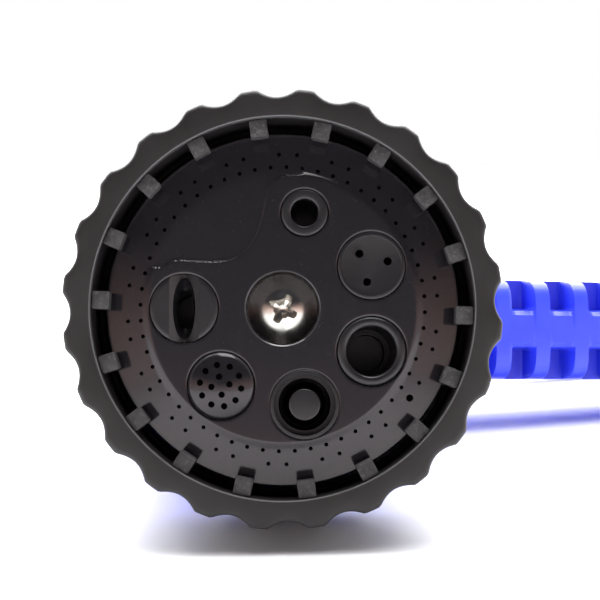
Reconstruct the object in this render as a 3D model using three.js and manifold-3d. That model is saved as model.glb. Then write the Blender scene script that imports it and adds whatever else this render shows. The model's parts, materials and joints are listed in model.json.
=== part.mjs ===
// A hand-held garden hose spray nozzle: a rotating seven-pattern dial on a pistol-shaped body,
// with a rear squeeze lever, a wire lock clip and a quick-connect hose nipple. It lies on its side.
//
// Two frames are used. The gun frame has its origin at the centre of the dial's back face: -y is the
// way the water leaves, +x runs down the grip and z is across the gun. The exported group's frame has
// +z up and its origin under the middle of the bounding box, with the gun resting on its three feet.
import * as THREE from "three";
import { mergeVertices } from "three/addons/utils/BufferGeometryUtils.js";
import Module from "manifold-3d";

const wasm = await Module();
wasm.setup();

// ---- Driving dimensions, in millimetres and degrees ----

const gap = 0.3; // between two pieces that seat on each other
const runningGap = 0.4; // between two pieces that move past each other

const dialRadius = 29; // over the tips of the scallops
const dialDepth = 22;
const scallopCount = 24;
const scallopDepth = 1.1;
const scallopHalfAngle = 5.3;
const firstTipAngle = 9;
const dialBoreRadius = 24.4;
const lipWidth = 0.8; // the wider mouth inside the dial's front edge
const lipDepth = 5;

const lugCount = 18;
const firstLugAngle = 17.6;
const lugWidth = 2.4;
const lugReach = 22.75; // radius that the lugs reach in to
const lugSetback = 0.8;
const lugThickness = 2.2;
const lugRoot = 0.6; // how far a lug runs on into the wall

const plateEdgeGap = 0.75; // dark ring between the plate and the dial's bore
const plateThickness = 1.8;
const plateCrown = 0.7; // how far the plate's middle stands in front of its edge
const islandRadius = 18.3;
const islandStep = 0.3;

const patternCount = 7;
const patternRadius = 13.1;
const insertProud = 0.5;
const insertHeadDepth = 3;
const shankRadius = 3.9;
const shankBore = 2.6;
const showerPattern = 1; // this pattern has no insert: its port feeds the plate's pinholes
const fanRadius = 4.5;
const fanSlotWidth = 1.3;
const fanSlotLength = 5.2;
const fanGrooveWidth = 3.9;
const fanSlotDepth = 4;
const fanFace = 2.2; // thickness of the fan insert's front
const jetRadius = 3.15;
const jetBore = 1.8;
const mistRadius = 4.5;
const mistHoleRadius = 0.52;
const mistHoleCircle = 2.2;
const mistBore = 3;
const mistFace = 1.4;
const fullFlowRadius = 4.55;
const fullFlowBore = 3.3;
const coneRadius = 4.5;
const coneMouth = 3.9;
const coneMouthDepth = 2;
const coneCoreRadius = 2.1;
const coneCoreSetback = 0.2;
const coneFoot = 3; // length of the core's foot
const coneNotch = 1.6; // width of each notch in the foot
const showerRoseRadius = 4.45;
const roseHoleRadius = 0.42;
const roseBore = 3.3;
const roseFace = 1.5;
const roseRings = [[10, 2.67], [4, 1.2]]; // holes and the radius they stand on

const backThickness = 6;
const hubHeight = 12.6;
const hubWall = 2;
const socketDepth = 1.6;

const postRadius = 4;
const screwHeadRadius = 4.65;
const screwHeadHeight = 3.2;
const screwRadius = 2.5;
const screwWell = 5; // radius of the well that the head sits in
const screwWellWall = 1.2;
const recessHalfLength = 2.45;
const recessWidth = 1.05;
const recessDepth = 2;
const recessAngle = 62;
const screwDome = 1.3; // height of the head's domed part
const screwLength = 6; // how far the screw goes into the body
const washerThickness = 0.8;
const dialWasherRadius = 5.6;

const detentRadius = 2; // the ball
const detentCircle = 19.5;
const detentDepth = 8.4;
const detentCoil = 1.5;
const detentWire = 0.35;
const pocketDepth = 1;
const pocketRadius = 2.2;
const flangeRadius = 23.5;
const flangeThickness = 10;
const shoulderRadius = 15; // where the cone behind the flange ends
const shoulderLength = 26;

const barrelRadius = 14.5;
const barrelLength = 78;
const rearCollarRadius = 17;
const rearCollarLength = 9;
const chamberRadius = 9;
const seatPosition = 30;
const seatBore = 4;
const outletBore = 4.9;
const outletDepth = 14;
const sealLength = 4.2;
const sealCoil = 3.7; // radius of the coil
const sealWire = 0.45;

const gripSlant = 16;
const gripWidth = 19;
const gripFrontDepth = 11.5; // from the grip's centre line to its front
const gripRearDepth = 12;
const gripLength = 100;
const gripStartX = 10;
const gripLead = 16.5; // from the barrel's rear end forward to the start of the grip
const neckPoints = [[14, 14], [17, 34]]; // the neck's front, from the flange to the grip
const gripWaist = 16; // width of the end stretch between the clip's arms
const waistLength = 34;
const ribPitch = 8;
const ribThickness = 3;
const firstPocket = 6;
const pocketCut = 3;
const spineWidth = 6.5; // smooth band down the middle of the grip's front
const passageRadius = 5;
const passageStart = 19; // how far the passage runs on past the grip's start, into the chamber

const stemRadius = 2.5;
const valveHeadRadius = 6.5;
const valveHeadThickness = 3.4;
const valveWasherThickness = 2;
const stemTail = 29; // how far the stem runs past the barrel's rear end
const stemNose = 2;
const returnCoil = 5.6;
const returnWire = 0.7;
const glandDepth = 14;
const glandFlange = 4.4;
const glandFlangeRadius = 12.6;
const sealGroove = 4.9;
const sealGrooveDepth = 2.4;

const pivotX = 5;
const pivotSetback = 12; // from the barrel's rear end back to the lever's pivot
const pivotPinRadius = 1.6;
const earWidth = 8;
const earRadius = 4.5;
const leverWidth = 15.6;
const leverThickness = 6;
const leverSlotEnd = 16; // how far past the pivot the lever's slot runs
const forkNose = 3.5;
const leverShort = 15; // how far the lever stops before the grip's end
const leverTailStand = 41; // off the grip's centre line
const leverMiddleStand = 38.5;

const nutRadius = 8;
const nutLength = 7.6;
const nutRibs = 14;
const nutRibDepth = 0.7;

const wireRadius = 1;
const clipPivotFromEnd = 24.5; // from the grip's end forward to the clip's pivot
const clipPivotOff = 6.5;
const clipReach = 21.5;
const clipTang = 3.4; // how far the wire's ends go into the grip
const clipHoleDepth = 8;
const clipBend = 3;
const tangBend = 1.1;

const nippleSocketRadius = 7.7;
const nippleSocketDepth = 16;
const nippleFlangeRadius = 9;
const nippleFlange = 5;
const nippleNeck = 6.2;
const nippleCollar = 7.9;
const nippleTip = 6.9;
const nippleBore = 4.3;
const nippleLength = 21;
const ringSection = 0.95;
const inletWasherThickness = 1.4;

// ---- Places that follow from them ----

const radians = THREE.MathUtils.degToRad;
const dialFront = -dialDepth;
const lugFront = dialFront + lugSetback;
const plateRadius = dialBoreRadius - plateEdgeGap;
const plateFront = lugFront + lugThickness + gap; // at the plate's middle
const plateBack = plateFront + plateCrown + plateThickness;
const insertFront = plateFront - insertProud;
const backFront = -backThickness;
const bodyFace = 0.6;
const screwEnd = bodyFace + screwLength;
const hubBore = postRadius + runningGap;
const washerBack = -hubHeight - runningGap - gap;
const headBack = washerBack - washerThickness - gap;
const barrelX = -patternRadius; // the outlet meets the pattern furthest from the grip
const glandBack = barrelLength + gap + glandFlange;
const gripStartY = barrelLength - gripLead;
const gripWaistStart = gripLength - waistLength;
const ribCount = Math.floor((gripLength - firstPocket) / ribPitch) - 1; // the last pitch stays plain
const stemEnd = barrelLength + stemTail;
const pivotY = barrelLength + pivotSetback;
const leverTail = gripLength - leverShort; // along the grip
const clipPivotAlong = gripLength - clipPivotFromEnd;
const washerFront = pivotY + forkNose + gap;
const nutFront = washerFront + washerThickness + gap;
const slant = radians(gripSlant);
const earSlot = earWidth + 2 * runningGap;

const black = { color: 0x2b2a2c, roughness: 0.45, metalness: 0 };
const glossBlack = { color: 0x1c1a1b, roughness: 0.15, metalness: 0 };
const blue = { color: 0x1d2fe0, roughness: 0.4, metalness: 0 };
const steel = { color: 0xc9c4bd, roughness: 0.22, metalness: 1 };
const springSteel = { color: 0xa9aaad, roughness: 0.3, metalness: 1 };
const rubber = { color: 0x1a1a1a, roughness: 0.85, metalness: 0 };
const acetal = { color: 0xe6e4dd, roughness: 0.5, metalness: 0 };
const brass = { color: 0xc59a4a, roughness: 0.3, metalness: 1 };

// ---- Shape helpers ----

// A closed three.js geometry as a solid that can be cut and joined.
function solid(geometry) {
  const bare = geometry.clone();
  bare.deleteAttribute("normal");
  bare.deleteAttribute("uv");
  const merged = mergeVertices(bare, 1e-4);
  return new wasm.Manifold(
    new wasm.Mesh({
      numProp: 3,
      vertProperties: merged.attributes.position.array,
      triVerts: new Uint32Array(merged.index.array),
    }),
  );
}

// The solid as a flat-shaded three.js geometry.
function geometryOf(shape) {
  const mesh = shape.getMesh();
  const geometry = new THREE.BufferGeometry();
  geometry.setAttribute("position", new THREE.BufferAttribute(mesh.vertProperties, 3));
  geometry.setIndex(new THREE.BufferAttribute(mesh.triVerts, 1));
  const flat = geometry.toNonIndexed();
  flat.computeVertexNormals();
  return flat;
}

const join = (shapes) => shapes.reduce((whole, shape) => whole.add(shape));
const cut = (whole, shapes) => shapes.reduce((rest, shape) => rest.subtract(shape), whole);

// A turned piece about the y axis, from a closed run of [radius, y] that goes round either way.
function turned(profile, sides = 40) {
  const closed = [...profile, profile[0]].map(([r, y]) => new THREE.Vector2(r, y));
  if (THREE.ShapeUtils.isClockWise(closed)) closed.reverse();
  return solid(new THREE.LatheGeometry(closed, sides));
}

function rod(radius, low, high, sides = 32) {
  const geometry = new THREE.CylinderGeometry(radius, radius, high - low, sides);
  return solid(geometry.translate(0, (low + high) / 2, 0));
}

const tube = (outer, inner, low, high, sides) =>
  turned([[outer, low], [outer, high], [inner, high], [inner, low]], sides);

function block(x0, x1, y0, y1, z0, z1) {
  const geometry = new THREE.BoxGeometry(x1 - x0, y1 - y0, z1 - z0);
  return solid(geometry.translate((x0 + x1) / 2, (y0 + y1) / 2, (z0 + z1) / 2));
}

// An outline in x and y, carried across the gun from -width/2 to width/2.
function acrossGun(points, width) {
  const shape = new THREE.Shape(points.map(([x, y]) => new THREE.Vector2(x, y)));
  const geometry = new THREE.ExtrudeGeometry(shape, { depth: width, bevelEnabled: false });
  return solid(geometry.translate(0, 0, -width / 2));
}

// A round bar across the gun, centred on its middle plane.
const across = (radius, width, sides = 28) =>
  solid(new THREE.CylinderGeometry(radius, radius, width, sides).rotateX(Math.PI / 2));

// An outline in x and z, carried along the dial's axis from back to front.
function alongAxis(points, front, back) {
  const shape = new THREE.Shape(points.map(([x, z]) => new THREE.Vector2(x, z)));
  const geometry = new THREE.ExtrudeGeometry(shape, { depth: back - front, bevelEnabled: false });
  return solid(geometry.rotateX(Math.PI / 2).translate(0, back, 0));
}

const moved = (shape, x, y = 0, z = 0) => shape.translate([x, y, z]);
const turnedTo = (shape, degrees) => shape.rotate([0, -degrees, 0]); // about the dial's axis

// The angle of each spray pattern, seen from the front: pattern 0 is over the outlet.
const patternAngle = (i) => 180 - (360 / patternCount) * i;

function atPattern(shape, i) {
  const angle = radians(patternAngle(i));
  return moved(shape, patternRadius * Math.cos(angle), 0, patternRadius * Math.sin(angle));
}

// From the grip's own frame (along it, off it towards the lever) to the gun frame.
function gripPoint(along, off) {
  const x = gripStartX + along * Math.cos(slant) - off * Math.sin(slant);
  const y = gripStartY + along * Math.sin(slant) + off * Math.cos(slant);
  return [x, y];
}

// A shape made along +y and centred on it, laid along the grip from a point of the grip's frame.
function alongGrip(shape, along, off = 0) {
  const [x, y] = gripPoint(along, off);
  return shape.rotate([0, 0, gripSlant - 90]).translate([x, y, 0]);
}

// The middle line of a coil about the y axis.
class Helix extends THREE.Curve {
  constructor(radius, length, turns) {
    super();
    Object.assign(this, { radius, length, turns });
  }

  getPoint(t, target = new THREE.Vector3()) {
    const angle = 2 * Math.PI * this.turns * t;
    return target.set(this.radius * Math.cos(angle), this.length * t, this.radius * Math.sin(angle));
  }
}

// A round wire along a path.
function wire(path, radius, steps, sides = 6) {
  const section = new THREE.Shape();
  section.absarc(0, 0, radius, 0, 2 * Math.PI);
  const options = { extrudePath: path, steps, curveSegments: sides / 2, bevelEnabled: false };
  return solid(new THREE.ExtrudeGeometry(section, options));
}

// A coil spring that fills the space from low to high.
function spring(coilRadius, wireR, low, high, turns) {
  const path = new Helix(coilRadius, high - low - 2 * wireR, turns);
  return moved(wire(path, wireR, turns * 12), 0, low + wireR);
}

// ---- The dial ----

// The dial's outline, with a shallow parabola cut between each pair of flat tips.
function scallopedOutline() {
  const points = [];
  const steps = 5;
  for (let i = 0; i < scallopCount; i++) {
    const valley = firstTipAngle + (i + 0.5) * (360 / scallopCount);
    for (let k = 0; k < steps; k++) {
      const offset = scallopHalfAngle * (-1 + (2 * k) / (steps - 1));
      const r = dialRadius - scallopDepth * (1 - (offset / scallopHalfAngle) ** 2);
      const angle = radians(valley + offset);
      points.push([r * Math.cos(angle), r * Math.sin(angle)]);
    }
  }
  return points;
}

// The outer hoop, its bore, the lip at its front and the lugs that hold the plate.
function dialRing() {
  const wall = alongAxis(scallopedOutline(), dialFront, 0);
  const bore = rod(dialBoreRadius, dialFront - 1, 1, 54);
  const lip = rod(dialBoreRadius + lipWidth, dialFront - 1, dialFront + lipDepth, 54);
  const lugs = [];
  for (let i = 0; i < lugCount; i++) {
    const half = lugWidth / 2;
    const root = dialBoreRadius + lipWidth + lugRoot;
    const lug = block(lugReach, root, lugFront, lugFront + lugThickness, -half, half);
    lugs.push(turnedTo(lug, firstLugAngle + i * (360 / lugCount)));
  }
  return join([cut(wall, [bore, lip]), ...lugs]);
}

// Head radius of each pattern's insert, 0 for the pattern without one.
const headRadii = [fanRadius, 0, jetRadius, mistRadius, fullFlowRadius, coneRadius, showerRoseRadius];

// The face plate: a raised island, an edge that falls away, and a well for the screw's head.
function facePlate() {
  const edgeFront = plateFront + plateCrown;
  const wellBack = washerBack - washerThickness - 2 * gap;
  const wellOuter = screwWell + screwWellWall;
  const plate = turned(
    [
      [wellOuter, plateBack],
      [wellOuter, wellBack],
      [screwWell, wellBack],
      [screwWell, plateFront],
      [islandRadius, plateFront],
      [islandRadius, plateFront + islandStep],
      [plateRadius, edgeFront],
      [plateRadius, plateBack],
    ],
    48,
  );
  const holes = [];
  headRadii.forEach((radius, i) => {
    if (radius > 0) holes.push(atPattern(rod(radius + gap, plateFront - 1, plateBack + 1, 24), i));
  });
  return cut(plate, holes);
}

// The tubular part that every insert shares: a head in the plate and a shank down to the dial's back.
function insertBlank(headRadius, bore, faceThickness = 0) {
  const headBack = insertFront + insertHeadDepth;
  const shankBack = backFront + socketDepth - gap;
  const shoulder = Math.max(headBack, plateBack + gap);
  const outer = [
    [shankRadius, shankBack],
    [bore, shankBack],
    [bore, insertFront + faceThickness],
  ];
  if (faceThickness > 0) outer.push([0, insertFront + faceThickness], [0, insertFront]);
  else outer.push([bore, insertFront]);
  outer.push([headRadius, insertFront], [headRadius, shoulder], [shankRadius, shoulder]);
  return turned(outer, 24);
}

// A groove right across the head, with a slot at its root that spreads the water.
function fanNozzle() {
  const groove = moved(across(fanGrooveWidth / 2, 3 * fanRadius, 4), 0, insertFront);
  const [wide, long] = [fanSlotWidth / 2, fanSlotLength / 2];
  const slot = block(-wide, wide, insertFront, insertFront + fanSlotDepth, -long, long);
  return atPattern(cut(insertBlank(fanRadius, shankBore, fanFace), [groove, slot]), 0);
}

const jetNozzle = () => atPattern(insertBlank(jetRadius, jetBore), 2);

// Three fine holes through the head.
function mistNozzle() {
  const holes = [15, 135, 255].map((angle) =>
    turnedTo(moved(rod(mistHoleRadius, insertFront - 1, insertFront + 3, 12), mistHoleCircle), angle),
  );
  return atPattern(cut(insertBlank(mistRadius, mistBore, mistFace), holes), 3);
}

const fullFlowNozzle = () => atPattern(insertBlank(fullFlowRadius, fullFlowBore), 4);

// An open bore with a wider mouth round the cone's core.
function coneNozzle() {
  const mouth = rod(coneMouth, insertFront - 1, insertFront + coneMouthDepth, 28);
  return atPattern(insertBlank(coneRadius, fullFlowBore).subtract(mouth), 5);
}

// The plug in the middle of the cone pattern, on a foot with three notches that let the water by.
function coneCore() {
  const footBack = backFront - 1;
  const foot = fullFlowBore - gap;
  const front = insertFront + coneCoreSetback;
  const plug = turned(
    [
      [0, front],
      [0, footBack],
      [foot, footBack],
      [foot, footBack - coneFoot],
      [coneCoreRadius, footBack - 1.5 * coneFoot],
      [coneCoreRadius, front],
    ],
    28,
  );
  const half = coneNotch / 2;
  const notch = block(coneCoreRadius, foot + 1, footBack - 2 * coneFoot, footBack + 1, -half, half);
  const notches = [90, 210, 330].map((angle) => turnedTo(notch, angle));
  return atPattern(cut(plug, notches), 5);
}

// The soft-shower rose: two rings of small holes through the head.
function showerRose() {
  const holes = roseRings.flatMap(([count, circle]) =>
    Array.from({ length: count }, (_, k) =>
      turnedTo(moved(rod(roseHoleRadius, insertFront - 2, insertFront + 3, 8), circle), (360 / count) * k),
    ),
  );
  return atPattern(cut(insertBlank(showerRoseRadius, roseBore, roseFace), holes), 6);
}

// The distributor at the dial's back: a port and a socket for each pattern, the detent's pockets, and a
// hub that runs on the body's post.
function dialBack() {
  const outer = dialBoreRadius - gap;
  const hubOuter = hubBore + hubWall;
  const disc = turned(
    [
      [outer, 0],
      [outer, backFront],
      [hubOuter, backFront],
      [hubOuter, -hubHeight],
      [hubBore, -hubHeight],
      [hubBore, 0],
    ],
    48,
  );
  const cuts = [];
  for (let i = 0; i < patternCount; i++) {
    cuts.push(atPattern(rod(shankBore, backFront - 1, 1, 16), i));
    if (i !== showerPattern) {
      cuts.push(atPattern(rod(shankRadius + gap, backFront - 1, backFront + socketDepth, 20), i));
    }
    const ball = solid(new THREE.SphereGeometry(pocketRadius, 12, 6));
    const pocket = moved(ball, detentCircle, pocketRadius - pocketDepth);
    cuts.push(turnedTo(pocket, (360 / patternCount) * i));
  }
  return cut(disc, cuts);
}

// The pan-head screw that holds the dial on, with a cross recess.
function dialScrew() {
  const top = headBack - screwHeadHeight;
  const body = turned(
    [
      [0, top],
      [0, screwEnd],
      [screwRadius, screwEnd],
      [screwRadius, headBack],
      [screwHeadRadius, headBack],
      [screwHeadRadius, top + screwDome],
      [screwHeadRadius * 0.8, top + screwDome * 0.3],
      [screwHeadRadius * 0.45, top],
    ],
    32,
  );
  const [long, wide] = [recessHalfLength, recessWidth / 2];
  const wing = block(-long, long, top - 1, top + recessDepth, -wide, wide);
  return cut(body, [turnedTo(wing, recessAngle), turnedTo(wing, recessAngle + 90)]);
}

const dialWasher = () =>
  tube(dialWasherRadius, screwRadius + gap, washerBack - washerThickness, washerBack, 32);

// ---- The body ----

// The side view of the neck and the grip.
function gripOutline() {
  const top = gripPoint(0, -gripFrontDepth);
  const rearTop = gripPoint(0, gripRearDepth);
  return [
    [barrelX, 12],
    ...neckPoints,
    [top[0] + 1, top[1] - 3],
    gripPoint(4, -gripFrontDepth),
    gripPoint(gripLength, -gripFrontDepth),
    gripPoint(gripLength, gripRearDepth),
    rearTop,
    [pivotX + 6, barrelLength - 2],
    [barrelX, barrelLength - 2],
  ];
}

// The cross pockets on the grip's front, open to the side, on both sides of the smooth spine.
function gripPockets() {
  const pockets = [];
  const pocketLength = ribPitch - ribThickness;
  for (let i = 0; i < ribCount; i++) {
    const start = firstPocket + i * ribPitch;
    for (const side of [-1, 1]) {
      const near = (side * spineWidth) / 2;
      const far = side * gripWidth;
      const [z0, z1] = [Math.min(near, far), Math.max(near, far)];
      const pocket = block(gripFrontDepth - pocketCut, gripFrontDepth + 5, 0, pocketLength, z0, z1);
      pockets.push(alongGrip(pocket, start));
    }
  }
  return pockets;
}

// The stretch between the lock clip's arms is narrower than the rest of the grip.
function gripWaistCuts() {
  return [-1, 1].map((side) => {
    const near = (side * gripWaist) / 2;
    const far = side * gripWidth;
    const slab = block(-30, 30, 0, gripLength, Math.min(near, far), Math.max(near, far));
    return alongGrip(slab, gripWaistStart);
  });
}

// Every hole in the body: for the screw, the outlet, the valve, the detent, the water, the clip and the pin.
function bodyPassages() {
  const screwHole = rod(screwRadius + gap, -hubHeight - 5, screwEnd + 2, 24);
  const outlet = moved(rod(outletBore, bodyFace - 1, outletDepth), barrelX);
  const seat = moved(rod(seatBore, outletDepth - 1, seatPosition + 1), barrelX);
  const chamber = moved(rod(chamberRadius, seatPosition, barrelLength + 5, 36), barrelX);
  const detent = moved(rod(detentRadius + gap, bodyFace - 1, bodyFace + detentDepth, 20), detentCircle);
  const inlet = alongGrip(rod(passageRadius, -passageStart, gripLength + 5), 0);
  const socketStart = gripLength - nippleSocketDepth;
  const socket = alongGrip(rod(nippleSocketRadius, 0, nippleSocketDepth + 5), socketStart);
  const [clipX, clipY] = gripPoint(clipPivotAlong, clipPivotOff);
  const clipHoles = [-1, 1].map((side) => {
    const middle = gripWaist / 2 - clipTang - gap + clipHoleDepth / 2;
    return moved(across(wireRadius + gap, clipHoleDepth, 16), clipX, clipY, side * middle);
  });
  const pinHole = moved(across(pivotPinRadius + gap, 2 * leverWidth, 20), pivotX, pivotY);
  return [screwHole, outlet, seat, chamber, detent, inlet, socket, ...clipHoles, pinHole];
}

// The blue body in one moulding: the dial's post, the flange, the valve barrel, the grip and the ear.
function gunBody() {
  const post = rod(postRadius, -hubHeight - runningGap, bodyFace + 1, 28);
  const flange = turned(
    [
      [0, bodyFace],
      [0, shoulderLength],
      [shoulderRadius, shoulderLength],
      [flangeRadius, flangeThickness],
      [flangeRadius, bodyFace],
    ],
    48,
  );
  const barrel = moved(rod(barrelRadius, bodyFace, barrelLength, 48), barrelX);
  const collarFront = barrelLength - rearCollarLength;
  const collar = moved(rod(rearCollarRadius, collarFront, barrelLength, 48), barrelX);
  const grip = acrossGun(gripOutline(), gripWidth);
  const ear = acrossGun(
    [
      [pivotX - earRadius, barrelLength - 8],
      [pivotX + 3 * earRadius, barrelLength - 8],
      [pivotX + earRadius, pivotY],
      [pivotX - earRadius, pivotY],
    ],
    earWidth,
  );
  const eye = moved(across(earRadius, earWidth), pivotX, pivotY);
  const whole = join([post, flange, barrel, collar, grip, ear, eye]);
  return cut(whole, [...gripPockets(), ...gripWaistCuts(), ...bodyPassages()]);
}

// ---- Seals, springs and the valve ----

const outletSeal = () =>
  moved(tube(outletBore - gap, shankBore, runningGap, runningGap + sealLength, 28), barrelX);

const sealSpring = () => {
  const front = runningGap + sealLength + gap;
  return moved(spring(sealCoil, sealWire, front, outletDepth - gap, 4), barrelX);
};

const ballY = detentRadius + runningGap;
const detentBall = () => moved(solid(new THREE.SphereGeometry(detentRadius, 14, 9)), detentCircle, ballY);

const detentSpring = () => {
  const front = ballY + detentRadius + gap;
  return moved(spring(detentCoil, detentWire, front, bodyFace + detentDepth - gap, 4), detentCircle);
};

const valveHeadFront = seatPosition + gap + valveWasherThickness + gap;
const valveHeadBack = valveHeadFront + valveHeadThickness;

// The stem: a nose in the valve washer, the head that holds it, and a rod out through the gland.
function valveStem() {
  const front = seatPosition - 1;
  const profile = [
    [0, front],
    [0, stemEnd],
    [stemRadius, stemEnd],
    [stemRadius, valveHeadBack],
    [valveHeadRadius, valveHeadBack],
    [valveHeadRadius, valveHeadFront],
    [stemNose, valveHeadFront],
    [stemNose, front],
  ];
  return moved(turned(profile, 28), barrelX);
}

function valveWasher() {
  const front = seatPosition + gap;
  return moved(tube(valveHeadRadius, stemNose + gap, front, front + valveWasherThickness, 28), barrelX);
}

const glandFront = barrelLength - glandDepth;
const returnSpring = () =>
  moved(spring(returnCoil, returnWire, valveHeadBack + gap, glandFront - gap, 6), barrelX);

// The plug that closes the valve's chamber, with a groove for the stem's O-ring and a hexagon.
function glandNut() {
  const outer = chamberRadius - gap;
  const bore = stemRadius + gap;
  const flangeFront = barrelLength + gap;
  const profile = [
    [bore, glandFront + sealGrooveDepth],
    [bore, glandBack],
    [outer, glandBack],
    [outer, glandFront],
    [sealGroove, glandFront],
    [sealGroove, glandFront + sealGrooveDepth],
  ];
  const body = turned(profile, 32);
  const middle = rod(outer - 1, flangeFront - 1, glandBack + 1);
  const hexagon = rod(glandFlangeRadius, flangeFront, glandBack, 6).subtract(middle);
  return moved(body.add(hexagon), barrelX);
}

// A rubber ring of round section about the y axis.
function ring(centreRadius, section, y) {
  const torus = new THREE.TorusGeometry(centreRadius, section, 8, 22).rotateX(Math.PI / 2);
  return moved(solid(torus), 0, y);
}

const stemRing = () => {
  const section = (sealGroove - stemRadius - 2 * gap) / 2;
  return moved(ring(stemRadius + gap + section, section, glandFront + section + gap), barrelX);
};

// ---- The lever, its pin and the flow nut ----

// The middle line of the lever, from its fork over the pivot to its tail.
function leverCurve() {
  const stations = [
    [barrelX, pivotY],
    [pivotX, pivotY],
    gripPoint(leverTail * 0.5, leverMiddleStand),
    gripPoint(leverTail, leverTailStand),
  ];
  return new THREE.CatmullRomCurve3(stations.map(([x, y]) => new THREE.Vector3(x, y, 0)));
}

// The band that follows that line, of one thickness all along.
function leverBand() {
  const curve = leverCurve();
  const steps = 24;
  const sides = [[], []];
  for (let i = 0; i <= steps; i++) {
    const p = curve.getPoint(i / steps);
    const t = curve.getTangent(i / steps);
    const half = leverThickness / 2;
    sides[0].push([p.x + t.y * half, p.y - t.x * half]);
    sides[1].unshift([p.x - t.y * half, p.y + t.x * half]);
  }
  return acrossGun([...sides[0], ...sides[1]], leverWidth);
}

// The lever: the band, its rounded nose and tail, a boss round the pin, and a slot for the ear and stem.
function squeezeLever() {
  const nose = moved(across(forkNose, leverWidth), barrelX, pivotY);
  const boss = moved(across(earRadius, leverWidth), pivotX, pivotY);
  const [tailX, tailY] = gripPoint(leverTail, leverTailStand);
  const tail = moved(across(leverThickness / 2, leverWidth), tailX, tailY);
  const [slotFront, slotEnd, half] = [barrelX - 8, pivotX + leverSlotEnd, earSlot / 2];
  const slot = block(slotFront, slotEnd, pivotY - 20, pivotY + 30, -half, half);
  const bore = moved(across(pivotPinRadius + gap, 2 * leverWidth, 20), pivotX, pivotY);
  return cut(join([leverBand(), nose, boss, tail]), [slot, bore]);
}

const leverPin = () => moved(across(pivotPinRadius, leverWidth + 1, 20), pivotX, pivotY);

const nutWasher = () =>
  moved(tube(nutRadius, stemRadius + gap, washerFront, washerFront + washerThickness, 32), barrelX);

// The ribbed thumb nut that sets how far the lever opens the valve.
function flowNut() {
  const points = [];
  for (let i = 0; i < nutRibs * 4; i++) {
    const angle = (i / (nutRibs * 4)) * 2 * Math.PI;
    const r = i % 4 < 2 ? nutRadius : nutRadius - nutRibDepth;
    points.push([r * Math.cos(angle), r * Math.sin(angle)]);
  }
  const bore = rod(stemRadius + gap, nutFront - 1, nutFront + nutLength + 1, 28);
  return moved(alongAxis(points, nutFront, nutFront + nutLength).subtract(bore), barrelX);
}

// ---- The lock clip ----

// A path through the points, each corner rounded by its own radius.
function roundedPath(points, radii) {
  const path = new THREE.CurvePath();
  let from = points[0];
  for (let i = 1; i < points.length - 1; i++) {
    const corner = points[i];
    const radius = radii[i - 1];
    const before = corner.clone().lerp(points[i - 1], radius / corner.distanceTo(points[i - 1]));
    const after = corner.clone().lerp(points[i + 1], radius / corner.distanceTo(points[i + 1]));
    path.add(new THREE.LineCurve3(from, before));
    path.add(new THREE.QuadraticBezierCurve3(before, corner, after));
    from = after;
  }
  path.add(new THREE.LineCurve3(from, points[points.length - 1]));
  return path;
}

// One bent wire: two ends in the grip, two arms beside it, and a bar behind it that catches the lever.
function lockClip() {
  const arm = gripWaist / 2 + gap + wireRadius;
  const tang = gripWaist / 2 - clipTang;
  const rise = gripRearDepth + gap + wireRadius - clipPivotOff; // the bar rests on the grip's rear
  const run = Math.sqrt(clipReach ** 2 - rise ** 2);
  const [px, py] = gripPoint(clipPivotAlong, clipPivotOff);
  const [bx, by] = gripPoint(clipPivotAlong + run, clipPivotOff + rise);
  const points = [
    [px, py, -tang],
    [px, py, -arm],
    [bx, by, -arm],
    [bx, by, arm],
    [px, py, arm],
    [px, py, tang],
  ].map(([x, y, z]) => new THREE.Vector3(x, y, z));
  return wire(roundedPath(points, [tangBend, clipBend, clipBend, tangBend]), wireRadius, 48, 8);
}

// ---- The hose end ----

// The quick-connect end: a stub in the grip, a flange, the coupling's neck and collar, and a grooved tip.
function hoseNipple() {
  const stub = nippleSocketRadius - gap;
  const flangeEnd = gap + nippleFlange;
  const tip = flangeEnd + nippleLength;
  const groove = nippleTip - 2 * ringSection + 0.25;
  const profile = [
    [nippleBore, inletWasherThickness + 2 * gap - nippleSocketDepth],
    [stub, inletWasherThickness + 2 * gap - nippleSocketDepth],
    [stub, gap],
    [nippleFlangeRadius, gap],
    [nippleFlangeRadius, flangeEnd],
    [nippleNeck, flangeEnd],
    [nippleNeck, flangeEnd + 5],
    [nippleCollar, flangeEnd + 6.5],
    [nippleCollar, flangeEnd + 8.5],
    [nippleNeck, flangeEnd + 9],
    [nippleNeck, flangeEnd + 12],
    [nippleTip, flangeEnd + 13],
    [nippleTip, tip - 5],
    [groove, tip - 5],
    [groove, tip - 2.6],
    [nippleTip, tip - 2.6],
    [nippleTip, tip - 1],
    [nippleTip - 1, tip],
    [nippleBore, tip],
  ];
  return alongGrip(turned(profile, 28), gripLength);
}

function nippleRing() {
  const middle = gap + nippleFlange + nippleLength - 3.8;
  const groove = nippleTip - 2 * ringSection + 0.25;
  return alongGrip(ring(groove + gap / 2 + ringSection, ringSection, middle), gripLength);
}

function inletWasher() {
  const low = gap - nippleSocketDepth;
  return alongGrip(
    tube(nippleSocketRadius - gap, nippleBore, low, low + inletWasherThickness, 32), gripLength,
  );
}

// ---- The assembly ----

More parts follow.
